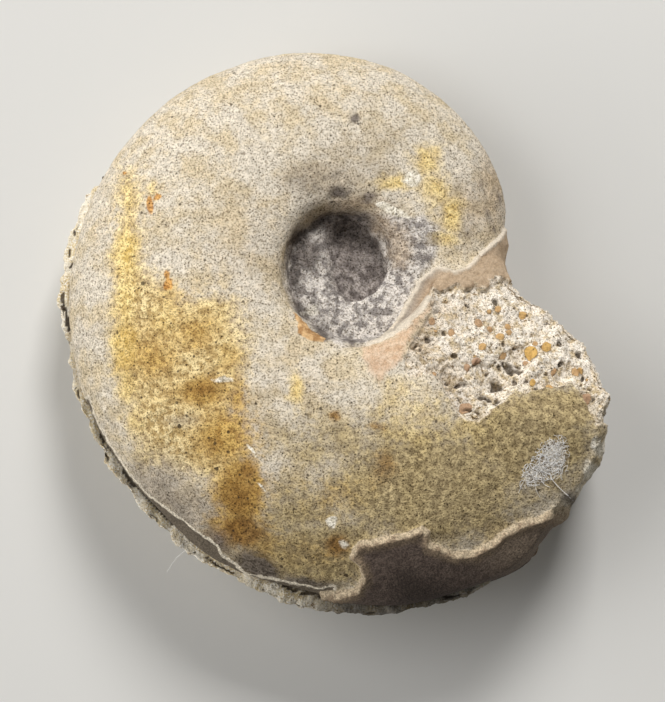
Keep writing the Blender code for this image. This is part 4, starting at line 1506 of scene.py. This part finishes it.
@dataclass
class StoneFinish(Finish):
    """Shared steps of the stone's materials, all in millimetres of the object's own place."""

    specular: float
    patterns: tuple
    relief: tuple

    def start(self) -> None:
        """Make the material, its place in millimetres and its three patterns, from fine to coarse."""
        super().start()
        self.shader.inputs["Specular IOR Level"].default_value = self.specular
        self.place = self.add(Step.SCALE, self.add(Step.PLACE), 1 / MM)
        self.fine, self.medium, self.patch = [self.lumps(*pattern) for pattern in self.patterns]

    def lumps(self, size: float, detail: float, roughness: float, shift: float = 0.0) -> Socket:
        """Noise whose lumps have a size in millimetres."""
        place = self.add(Step.SHIFT, self.place, (shift,) * 3) if shift else self.place
        return self.add(Step.NOISE, place, 1 / size, detail, roughness)

    def grains(self, spacing: float, shift: float = 0.0) -> tuple[Socket, Socket]:
        """Grains at a spacing in millimetres.

        Args:
            spacing: Usual distance between the grains.
            shift: Shift of the pattern, so that two of them don't agree.

        Returns:
            The distance to the nearest grain's middle, and that grain's draw from 0 to 1.
        """
        place = self.add(Step.SHIFT, self.place, (shift,) * 3) if shift else self.place
        distance = self.add(Step.CELLS, place, 1 / spacing)
        return distance, self.add(Step.DRAW, distance.node.outputs["Color"])

    def tone(self, tone: Tone, pattern: Socket) -> Socket:
        """Two colours that follow a pattern."""
        share = self.add(Step.SPREAD, pattern, tone.low, tone.high)
        return self.add(Step.MIX, tone.first, tone.second, share)

    def wash(self, colour: Socket, wash: Wash, pattern: "Socket | Mark") -> Socket:
        """Lay a wash over a colour where a pattern or mark asks for it."""
        share = self.add(Step.SPREAD, pattern, wash.low, wash.high, 0.0, wash.strength)
        return self.add(Step.MIX, colour, wash.colour, share)

    def grey(self, pattern: Socket, *span: float) -> Socket:
        """A grey to dim a colour with: the range of the pattern, and its darkest and lightest share."""
        light = self.add(Step.SPREAD, pattern, *span)
        return self.add(Step.GREY, light, light, light)

    def edge(self, edge: Edge) -> Socket:
        """Share inside a mark's edge, ragged at the size of the grain."""
        strayed = self.add(Step.MULTIPLY, self.add(Step.SUBTRACT, self.medium, 0.5), edge.ragged)
        return self.add(Step.SPREAD, self.add(Step.ADD, edge.mark, strayed), edge.low, edge.high)

    def dress(self, colour: Socket) -> bpy.types.Material:
        """Give the shader its colour, and the small relief that is too fine for the mesh.

        Args:
            colour: The stone's colour.

        Returns:
            The material.
        """
        coarse_share, distance, strength = self.relief
        self.tree.links.new(colour, self.shader.inputs["Base Color"])
        height = self.add(Step.ADD, self.fine, self.add(Step.MULTIPLY, self.medium, coarse_share))
        bump = self.add(Step.BUMP, height, strength, distance * MM)
        self.tree.links.new(bump, self.shader.inputs["Normal"])
        return self.material


@dataclass
class WornLimestone(StoneFinish):
    """Oolitic limestone, worn and dry."""

    # The stone is a fine cement full of grains, rubbed smooth on the flanks and never polished. The
    # eye gets a chalky cream without any shine, dotted with small dark grains, and over it soft stains:
    # yellow and ochre from rust, brown from iron, grey and slate where the rock was wet. Some grey, slate
    # and dun patches are painted shade instead, on the lower edge and by the umbilicus, and one dun patch
    # is painted light on the dark shell. The real grain is finer than a pixel of the photo. It is drawn
    # at about 0.25 and 0.4 mm, so that it shows.
    name: str = "worn_oolitic_limestone"
    roughness: float = 0.9
    specular: float = 0.25
    patterns: tuple = ((0.23, 2.0, 0.75), (0.75, 2.0, 0.6, 7.0), (3.5, 3.0, 0.6, 19.0))
    relief: tuple = (1.5, 0.16, 0.8)
    stone: Tone = Tone("DBD0BE", "D2C1A2", 0.38, 0.66)
    band: Tone = Tone("C0A26B", "E8D29E", 0.36, 0.64)
    band_edge: Edge = Edge(Mark.BAND, -1.4, 2.2, 2.6)
    stains: tuple = (
        Stain(Mark.GREY, "998C7B", "B1A38F", 0.75),
        Stain(Mark.DUN, "A38E74", "C0AA8E", 0.7, 0.05, 0.9, 0.4),
        Stain(Mark.OLIVE, "927E56", "B7A376", 0.92, 0.05, 0.75, 0.35),
        Stain(Mark.YELLOW, "DCB860", "EDD38E", 0.85, 0.1, 0.95),
        Stain(Mark.OCHRE, "AC8138", "C6A052", 0.85),
        Stain(Mark.BROWN, "7A5424", "916A32", 0.85),
        Stain(Mark.ORANGE, "B87B33", "D9A45B", 0.9, 0.3, 0.6, 0.3),
        Stain(Mark.SLATE, "4E4642", "746B65", 0.88, 0.15, 0.75, 0.6),
        Stain(Mark.WHITE, "E6DCC6", "F6EFE0", 0.95, 0.3, 0.6, 0.4),
        Stain(Mark.LINT, "A79E98", "E2DFDB", 0.6, 0.2, 1.0, 1.4),
    )
    stain_body: tuple = (0.35, 0.65)
    stain_start: tuple = (0.01, 0.12)
    grain_light: tuple = (0.33, 0.56, 0.42, 1.12)
    grain_warmth: tuple = ("FFF3DC", "FFFFFF")
    blotch_light: tuple = (0.3, 0.7, 0.84, 1.1)
    calm_light: float = 0.92
    calm_share: tuple = (0.3, 0.8, 0.0, 0.7)
    dot_spacing: float = 0.4
    dot_depth: tuple = (0.3, 1.0, 0.0, 0.92)
    dot_reach: tuple = (0.12, 0.34, 1.0, 0.0)
    specks: tuple = ((1.5, 0.0), (0.9, 13.0))
    speck_colour: str = "35291C"
    speck_reach: tuple = (0.25, 1.0, 0.0, 0.15)
    band_speck_reach: tuple = (-1.0, 1.0, 0.0, 0.06)
    speck_edge: tuple = (-0.06, 0.0, 0.8, 0.0)

    def build(self) -> bpy.types.Material:
        """Lay the stone's colours over each other."""
        self.start()
        colour = self.tone(self.stone, self.patch)
        colour = self.add(Step.MIX, colour, self.tone(self.band, self.medium), self.edge(self.band_edge))
        colour = Umbilicus().lay(self, colour)
        for stain in self.stains:
            colour = self.lay(colour, stain)
        colour = BrokenFace().lay(self, colour)
        colour = self.lay_grain(colour)
        colour = self.speck(colour)
        return self.dress(ShellRemains().lay(self, colour))

    def lay(self, colour: Socket, stain: Stain) -> Socket:
        """Lay one stain over a colour, mottled at its edge.

        Args:
            colour: The colour so far.
            stain: The stain.

        Returns:
            The stained colour.
        """
        wandering = self.add(Step.SUBTRACT, self.add(Step.ADD, self.medium, self.patch), 1.0)
        strayed = self.add(Step.ADD, stain.mark, self.add(Step.MULTIPLY, wandering, stain.wander))
        share = self.add(Step.SPREAD, strayed, stain.low, stain.high, 0.0, stain.strength)
        present = self.add(Step.SPREAD, stain.mark, *self.stain_start)
        body = self.tone(Tone(stain.dark, stain.light, *self.stain_body), self.medium)
        return self.add(Step.MIX, colour, body, self.add(Step.MULTIPLY, share, present))

    def lay_grain(self, colour: Socket) -> Socket:
        """Dim a colour by the stone's grain and its blotches; ooids are smoother.

        Args:
            colour: The colour so far.

        Returns:
            The dimmed colour.
        """
        grain = self.add(Step.MULTIPLY, self.add(Step.SPREAD, self.fine, *self.grain_light), self.dots())
        calm = self.add(Step.SPREAD, Mark.OOID, *self.calm_share)
        missing = self.add(Step.SUBTRACT, self.calm_light, grain)
        grain = self.add(Step.ADD, grain, self.add(Step.MULTIPLY, missing, calm))
        colour = self.add(Step.TINT, colour, self.add(Step.MIX, *self.grain_warmth, grain), 1.0)
        colour = self.add(Step.TINT, colour, self.add(Step.GREY, grain, grain, grain), 1.0)
        return self.add(Step.TINT, colour, self.grey(self.medium, *self.blotch_light), 1.0)

    def dots(self) -> Socket:
        """Small dark grains between the pale ones, as a share of the light that they leave."""
        distance, draw = self.grains(self.dot_spacing)
        depth = self.add(Step.SPREAD, draw, *self.dot_depth)
        middle = self.add(Step.SPREAD, distance, *self.dot_reach)
        return self.add(Step.SUBTRACT, 1.0, self.add(Step.MULTIPLY, middle, depth))

    def speck(self, colour: Socket) -> Socket:
        """Black specks of iron and manganese, each of its own size, and larger on the stained band.

        Args:
            colour: The colour so far.

        Returns:
            The specked colour.
        """
        for spacing, shift in self.specks:
            distance, draw = self.grains(spacing, shift)
            reach = self.add(Step.SPREAD, draw, *self.speck_reach)
            reach = self.add(Step.ADD, reach, self.add(Step.SPREAD, Mark.BAND, *self.band_speck_reach))
            close = self.add(Step.SPREAD, self.add(Step.SUBTRACT, distance, reach), *self.speck_edge)
            colour = self.add(Step.MIX, colour, self.speck_colour, close)
        return colour


@dataclass(frozen=True)
class Umbilicus:
    """The whorls inside the umbilicus: blue-grey stone with white patches, and painted shade in its deep
    middle.
    """

    patches: tuple = (1.1, 3.0, 0.65, 61.0)
    whorls: Tone = Tone("8F8883", "DED6CD", 0.40, 0.60)
    # Painted shade: the deep middle of the well is darkened by the well's share.
    middle: Tone = Tone("574E4A", "9A908A", 0.36, 0.66)
    painted_shade_share: float = 0.9
    edge: Edge = Edge(Mark.UMBILICUS, -0.3, 0.6, 0.8)

    def lay(self, stone: WornLimestone, colour: Socket) -> Socket:
        """Lay the umbilicus over a colour of the stone.

        Args:
            stone: The limestone's finish.
            colour: The colour so far.

        Returns:
            The new colour.
        """
        patch = stone.lumps(*self.patches)
        share = stone.add(Step.MULTIPLY, Mark.WELL, self.painted_shade_share)
        inner = stone.add(Step.MIX, stone.tone(self.whorls, patch), stone.tone(self.middle, patch), share)
        return stone.add(Step.MIX, colour, inner, stone.edge(self.edge))


@dataclass(frozen=True)
class BrokenFace:
    """The broken face: white cement, brownish grains, smooth ooids, and the moulds of lost ones in a dark
    brown that is partly painted shade.
    """

    cement_lumps: tuple = (1.1, 3.0, 0.7, 31.0)
    grain_lumps: tuple = (0.55, 2.0, 0.6, 43.0)
    cement: Tone = Tone("F3E9DA", "CFBB98", 0.44, 0.68)
    grains: Wash = Wash("927B5A", 0.58, 0.72)
    stains: tuple = (
        Stain(Mark.DUN, "A68E70", "C8B394", 0.8, 0.05, 0.9, 0.6),
        Stain(Mark.OLIVE, "9C8858", "C2AE80", 0.35),
    )
    edge: Edge = Edge(Mark.BROKEN, -0.15, 0.25, 0.5)
    ooid: tuple = ("C2A086", "E4B96C")
    ooid_dirt: Wash = Wash("A07E58", 0.48, 0.72, 0.6)
    ooid_ring: Wash = Wash("8A6E4A", 0.1, 0.4)
    ring_share: float = 0.75
    ooid_edge: tuple = (0.4, 0.8)
    # Painted shade, partly the moulds' own brown: a dark brown over the moulds and pits, by their depth.
    mould: Wash = Wash("463726", 0.2, 1.0, 0.82)

    def lay(self, stone: WornLimestone, colour: Socket) -> Socket:
        """Lay the broken rock, its ooids and its moulds over a colour of the stone.

        Args:
            stone: The limestone's finish.
            colour: The colour so far.

        Returns:
            The new colour.
        """
        rock = stone.tone(self.cement, stone.lumps(*self.cement_lumps))
        rock = stone.wash(rock, self.grains, stone.lumps(*self.grain_lumps))
        for stain in self.stains:
            rock = stone.lay(rock, stain)
        colour = stone.add(Step.MIX, colour, rock, stone.edge(self.edge))
        body = stone.wash(stone.add(Step.MIX, *self.ooid, Mark.HUE), self.ooid_dirt, stone.medium)
        ring = stone.add(Step.SPREAD, Mark.OOID, self.ooid_ring.low, self.ooid_ring.high)
        ring = stone.add(Step.MULTIPLY, ring, self.ring_share)
        colour = stone.add(Step.MIX, colour, self.ooid_ring.colour, ring)
        colour = stone.add(Step.MIX, colour, body, stone.add(Step.SPREAD, Mark.OOID, *self.ooid_edge))
        return stone.wash(colour, self.mould, Mark.PIT)


@dataclass(frozen=True)
class ShellRemains:
    """The shell's remains: smooth tan and pinkish calcite, the strip, and the dark patch with its lip."""

    soft_grain: tuple = (0.36, 0.64, 0.82, 1.08)
    lively_grain: tuple = (0.36, 0.64, 0.6, 1.3)
    pink: Tone = Tone("CBA684", "DFC3A6")
    pink_edge: Edge = Edge(Mark.PINK_SHELL, -0.3, 0.6, 1.2)
    pink_share: float = 0.85
    orange: Tone = Tone("AE8456", "DDB684", 0.4, 0.6)
    orange_edge: Edge = Edge(Mark.ORANGE_SHELL, -0.1, 0.1, 0.3)
    tan: Tone = Tone("AC9478", "C2AA8E")
    tan_by_umbilicus: Wash = Wash("AA9F92", -2.0, 0.0)
    # The tan shell's pale lip: partly its own pale edge, partly a painted highlight on its raised step.
    tan_lip_and_highlight: str = "DFD2BE"
    tan_lip_and_highlight_edge: Edge = Edge(Mark.TAN_SHELL, 0.15, 0.75, 0.6)
    tan_edge: Edge = Edge(Mark.TAN_SHELL, -0.1, 0.05, 0.2)
    tan_broken_edge: Edge = Edge(Mark.BROKEN, -0.3, 0.2, 1.2)
    # The strip's pale upper edge: partly the shell's edge, partly a painted highlight on the lit side of its
    # step.
    strip: tuple = ("E4D8C2", "6E6354")
    strip_lip_and_highlight_edge: Edge = Edge(Mark.STRIP, 0.05, 0.25, 0.7)
    strip_edge: Edge = Edge(Mark.STRIP, -0.2, -0.1, 0.5)
    dark: Tone = Tone("52453D", "685A50")
    dark_inside: Wash = Wash("40362F", 2.5, 6.0, 0.85)
    # Painted light: a lighter colour on the dark shell's right part, where the light from the top falls, laid
    # by the dun mark.
    dark_shell_painted_light: str = "94836F"
    painted_light_share: float = 0.75
    # A pale lip, partly its own colour and partly a painted highlight, and a tan band inside it that is
    # painted shade where the lip turns from the light.
    dark_lip_highlight_and_shade: tuple = (
        ("907D66", Edge(Mark.DARK_SHELL, 0.6, 1.7, 0.8)),
        ("BDAB8F", Edge(Mark.DARK_SHELL, 0.1, 0.6, 1.6)),
    )
    dark_edge: Edge = Edge(Mark.DARK_SHELL, -0.1, 0.05, 0.2)

    def lay(self, stone: WornLimestone, colour: Socket) -> Socket:
        """Lay each remnant over a colour of the stone.

        Args:
            stone: The limestone's finish.
            colour: The colour so far.

        Returns:
            The new colour.
        """
        soft = stone.grey(stone.fine, *self.soft_grain)
        lively = stone.grey(stone.fine, *self.lively_grain)
        pink_share = stone.add(Step.MULTIPLY, stone.edge(self.pink_edge), self.pink_share)
        whole = stone.add(Step.SUBTRACT, 1.0, stone.edge(self.tan_broken_edge))
        tan_share = stone.add(Step.MULTIPLY, stone.edge(self.tan_edge), whole)
        strip = stone.add(Step.MIX, *self.strip, stone.edge(self.strip_lip_and_highlight_edge))
        layers = (
            (stone.tone(self.pink, stone.medium), soft, pink_share),
            (stone.tone(self.orange, stone.medium), soft, stone.edge(self.orange_edge)),
            (self.tan_shell(stone), soft, tan_share),
            (strip, lively, stone.edge(self.strip_edge)),
            (self.dark_shell(stone), lively, stone.edge(self.dark_edge)),
        )
        for shell, grain, share in layers:
            colour = stone.add(Step.MIX, colour, stone.add(Step.TINT, shell, grain, 1.0), share)
        return colour

    def tan_shell(self, stone: WornLimestone) -> Socket:
        """The tan shell, greyer by the umbilicus, with a pale lip that is partly a painted highlight on its
        step.
        """
        tan = stone.wash(stone.tone(self.tan, stone.medium), self.tan_by_umbilicus, Mark.UMBILICUS)
        return stone.add(Step.MIX, self.tan_lip_and_highlight, tan, stone.edge(self.tan_lip_and_highlight_edge))

    def dark_shell(self, stone: WornLimestone) -> Socket:
        """The dark shell, darkest inside, lighter on its right part as painted light, with a pale lip over a
        band of painted shade.
        """
        dark = stone.wash(stone.tone(self.dark, stone.medium), self.dark_inside, Mark.DARK_SHELL)
        dark = stone.add(Step.MIX, dark, self.dark_shell_painted_light, stone.add(Step.MULTIPLY, Mark.DUN, self.painted_light_share))
        for rim, edge in self.dark_lip_highlight_and_shade:
            dark = stone.add(Step.MIX, rim, dark, stone.edge(edge))
        return dark


@dataclass
class CrustRock(StoneFinish):
    """Coarse oolitic rock as it broke, never worn."""

    # Pale cement holds sand-sized grains of lime, and small hollows lie between them. The eye gets a
    # rough, crumbly cream with tan grains and dark gaps. The hollows and the gap under the cast are
    # darkened as painted shade, and the lowest edge as painted shadow. The grains are drawn at 1.3 mm,
    # somewhat coarser than most real ones, so that they show as grains.
    name: str = "coarse_oolitic_rock"
    roughness: float = 0.95
    specular: float = 0.2
    patterns: tuple = ((0.22, 3.0, 0.7), (0.9, 3.0, 0.65, 5.0), (4.0, 3.0, 0.6, 23.0))
    relief: tuple = (2.0, 0.25, 0.9)
    grain_spacing: float = 1.3
    cement: Tone = Tone("F8EED8", "E2D0A8", 0.4, 0.62)
    single_grains: Wash = Wash("D6BF90", 0.55, 1.0, 0.7)
    tan_grains: Wash = Wash("A48C68", 0.6, 0.72)
    white_cement: Wash = Wash("FDF8EE", 0.5, 0.62)
    dark_gaps: Wash = Wash("4C3D2E", 0.41, 0.33, 0.8)
    # Painted shade: a dark colour in the hollows and in the gap under the cast; the cracks are darkened by
    # the same wash.
    hollows: Wash = Wash("3C3024", 0.25, 0.9, 0.92)
    # Painted shadow: a dark colour over the rock's lowest edge, strongest on its right part, where the fossil
    # shades it.
    lower_edge_shadow: str = "2E261E"
    shadow_along: tuple = (-25.5, -30.5, 0.0, 0.82)
    shadow_across: tuple = (-4.0, 4.0, 0.25, 1.0)

    def build(self) -> bpy.types.Material:
        """Lay the rock's colours over each other."""
        self.start()
        _, draw = self.grains(self.grain_spacing)
        colour = self.wash(self.tone(self.cement, self.patch), self.single_grains, draw)
        colour = self.wash(colour, self.tan_grains, self.medium)
        colour = self.wash(colour, self.white_cement, self.fine)
        colour = self.wash(colour, self.dark_gaps, self.fine)
        colour = self.wash(colour, self.hollows, Mark.PIT)
        across, along, _ = self.add(Step.AXES, self.place).node.outputs
        shadowed_share = self.add(Step.SPREAD, along, *self.shadow_along)
        shadowed_share = self.add(Step.MULTIPLY, shadowed_share, self.add(Step.SPREAD, across, *self.shadow_across))
        return self.dress(self.add(Step.MIX, colour, self.lower_edge_shadow, shadowed_share))


@dataclass
class CottonLint(Finish):
    """Cotton fibres, bleached and spun, then worn off a cloth."""

    # The fibres are matt and white, with the soft glow of thin fibres at their edges.
    name: str = "white_cotton_lint"
    roughness: float = 0.8
    colour: str = "F4F2EE"
    sheen: float = 0.4

    def build(self) -> bpy.types.Material:
        """Give the fibres one even white with a soft sheen."""
        self.start()
        self.shader.inputs["Base Color"].default_value = linear_colour(self.colour)
        self.shader.inputs["Sheen Weight"].default_value = self.sheen
        return self.material


@dataclass
class Lint:
    """Dirt stuck to the stone: a tuft of short fibres and a few long ones."""

    view: PictureView
    outline: tuple = SurfaceMarks.lint_patch
    strands: int = 250
    strand_points: int = 9
    strand_length: tuple = (0.5, 1.9)
    strand_bend: float = 2.6
    start_inside: float = 0.1
    stray_outside: float = -0.3
    thickness: float = 0.018
    lift: float = 0.22
    seed: int = 5
    long_fibres: tuple = (
        ((24.6, -24.9), (25.1, -25.9), (26.1, -27.0), (26.9, -27.7), (28.2, -29.1)),
        ((21.8, -25.4), (21.4, -26.3), (20.9, -27.4)),
        ((22.9, -25.8), (23.0, -26.9), (23.5, -27.9)),
        ((23.7, -25.9), (24.1, -26.4), (24.7, -26.7)),
    )
    long_widths: tuple = (2.2, 1.1, 1.1, 1.7)
    long_steps: int = 4
    hanging: tuple = (
        (-19.0, -34.0, 9.6), (-19.8, -34.6, 9.5), (-20.5, -35.2, 8.9), (-21.1, -36.0, 7.9),
        (-21.7, -37.0, 6.6),
    )
    hanging_width: float = 2.0

    def build(self, stone: bpy.types.Object) -> bpy.types.Object:
        """Lay the fibres on the stone and turn them into one mesh.

        Args:
            stone: The piece they lie on, already in its place.

        Returns:
            The joined fibres.
        """
        self.tree = BVHTree.FromObject(stone, bpy.context.evaluated_depsgraph_get())
        curves = bpy.data.curves.new("lint_fibres", "CURVE")
        curves.dimensions = "3D"
        curves.bevel_depth = self.thickness * MM
        curves.bevel_resolution = 0
        curves.use_fill_caps = True
        draws = np.random.default_rng(self.seed)
        for _ in range(self.strands):
            self.add_strand(curves, self.curl(draws), self.lift * draws.random())
        for width, corners in zip(self.long_widths, self.long_fibres):
            path = smooth_curve(np.array(corners), self.long_steps)
            self.add_strand(curves, path, 0.5 * self.lift, width)
        hanging = [self.view.place_at(*point) for point in self.hanging]
        self.add_points(curves, hanging, self.hanging_width)
        fibres = bpy.data.objects.new("lint_fibres", curves)
        bpy.context.scene.collection.objects.link(fibres)
        activate(fibres)
        bpy.ops.object.convert(target="MESH")
        return bpy.context.object

    def curl(self, draws: np.random.Generator) -> np.ndarray:
        """A curled path in the picture plane, from a draw inside the tuft.

        Args:
            draws: The random draws.

        Returns:
            Places of the picture plane, one a row.
        """
        corners = np.array(self.outline)
        start = corners.min(axis=0) + draws.random(2) * np.ptp(corners, axis=0)
        while outline_distance(start[None], self.outline)[0] < self.start_inside:
            start = corners.min(axis=0) + draws.random(2) * np.ptp(corners, axis=0)
        heading = draws.uniform(0.0, 2 * math.pi)
        length = draws.uniform(*self.strand_length)
        bend = draws.normal() * self.strand_bend
        turns = heading + bend * np.linspace(-0.5, 0.5, self.strand_points)
        steps = np.column_stack((np.cos(turns), np.sin(turns))) * length / self.strand_points
        path = start + np.cumsum(steps, axis=0)
        return path[outline_distance(path, self.outline) > self.stray_outside]

    def add_strand(self, curves: bpy.types.Curve, path: np.ndarray, lift: float, width: float = 1.0) -> None:
        """Add a fibre that follows the stone under its path in the picture plane.

        Args:
            curves: The curve that holds all the fibres.
            path: Places of the picture plane, one a row.
            lift: Height of its arch over the stone in millimetres.
            width: Its width, as a share of the usual one.
        """
        places = []
        for share, (x, y) in zip(np.linspace(0.0, 1.0, len(path)), path):
            eye, way = self.view.ray(x, y)
            hit = self.tree.ray_cast(eye * MM, way)[0]
            if hit is None:
                break
            height = self.thickness + lift * math.sin(math.pi * share)
            places.append(hit - way * height * MM)
        self.add_points(curves, places, width)

    def add_points(self, curves: bpy.types.Curve, places: list, width: float) -> None:
        """Add a fibre through places in metres, if there are enough of them."""
        if len(places) < 3:
            return
        spline = curves.splines.new("POLY")
        spline.points.add(len(places) - 1)
        for point, place in zip(spline.points, places):
            point.co = (*place, 1.0)
            point.radius = width


def finish_piece(piece: bpy.types.Object, material: bpy.types.Material) -> None:
    """Dress a piece and tie it to the fossil.

    Args:
        piece: The piece.
        material: Its finish.
    """
    activate(piece)
    bpy.ops.object.shade_smooth_by_angle(angle=math.radians(SMOOTH_ANGLE))
    piece.data.materials.clear()
    piece.data.materials.append(material)
    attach(piece, BODY)
    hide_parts(NODE)
    piece.data.calc_loop_triangles()
    log.info("%s: %d triangles", piece.name, len(piece.data.loop_triangles))


@dataclass(frozen=True)
class Lamp:
    """A square light that faces the fossil: azimuth 0 is behind it and grows to the right."""

    name: str
    azimuth: float
    height: float
    distance: float
    size: float
    power: float

    def add(self) -> None:
        """Add the light, aimed at the fossil."""
        data = bpy.data.lights.new(self.name, "AREA")
        data.size = self.size
        data.energy = self.power
        lamp = bpy.data.objects.new(self.name, data)
        bpy.context.scene.collection.objects.link(lamp)
        turn, rise = math.radians(self.azimuth), math.radians(self.height)
        towards = Vector((math.sin(turn) * math.cos(rise), math.cos(turn) * math.cos(rise), math.sin(rise)))
        lamp.location = towards * self.distance
        lamp.rotation_euler = towards.to_track_quat("Z", "Y").to_euler()


@dataclass
class MattBoard(Finish):
    """Plain matt board for the floor, with nothing on it that draws the eye."""

    name: str = "matt_pale_board"
    roughness: float = 0.9
    colour: str = "D2D0CB"

    def build(self) -> bpy.types.Material:
        """Give the board its even pale grey."""
        self.start()
        self.shader.inputs["Base Color"].default_value = linear_colour(self.colour)
        return self.material


@dataclass
class Studio:
    """The plain pale floor and the soft light, brightest from above the picture's top edge."""

    floor_size: float = 3.0
    floor_level: float = -0.0002
    lamps: tuple = (
        Lamp("key_light", 14.0, 43.0, 0.7, 0.22, 4.15),
        Lamp("side_light", 283.0, 46.0, 0.8, 0.6, 3.4),
        Lamp("low_light", 252.0, 17.0, 0.8, 0.5, 2.2),
        Lamp("fill_light", 190.0, 75.0, 0.9, 0.6, 0.15),
    )
    sky_colour: str = "F4F6FA"
    sky_strength: float = 0.07

    def build(self) -> None:
        """Add the floor and the lights."""
        deselect_all()
        bpy.ops.mesh.primitive_plane_add(size=self.floor_size, location=(0, 0, self.floor_level))
        floor = bpy.context.object
        floor.name = "floor"
        floor.data.materials.append(MattBoard().build())
        for lamp in self.lamps:
            lamp.add()
        world = bpy.data.worlds.new("studio")
        world.use_nodes = True
        backdrop = world.node_tree.nodes["Background"]
        backdrop.inputs["Color"].default_value = linear_colour(self.sky_colour)
        backdrop.inputs["Strength"].default_value = self.sky_strength
        bpy.context.scene.world = world
        bpy.context.scene.view_settings.view_transform = "Standard"


def main() -> None:
    """Build and dress the fossil, its camera and its light."""
    logging.basicConfig(level=logging.INFO, format="%(message)s")
    view = PictureView()
    view.make_camera()
    noise = StoneNoise(NOISE_SEED)
    coil = CoilForm()
    finish_piece(BackRock(coil, view, noise).build(), CrustRock().build())
    limestone = WornLimestone().build()
    shown, back = Cast(coil, view, noise, SurfaceMarks()).build()
    for piece in (shown, back):
        finish_piece(piece, limestone)
    finish_piece(Lint(view).build(shown), CottonLint().build())
    Studio().build()


if __name__ == "__main__":
    main()
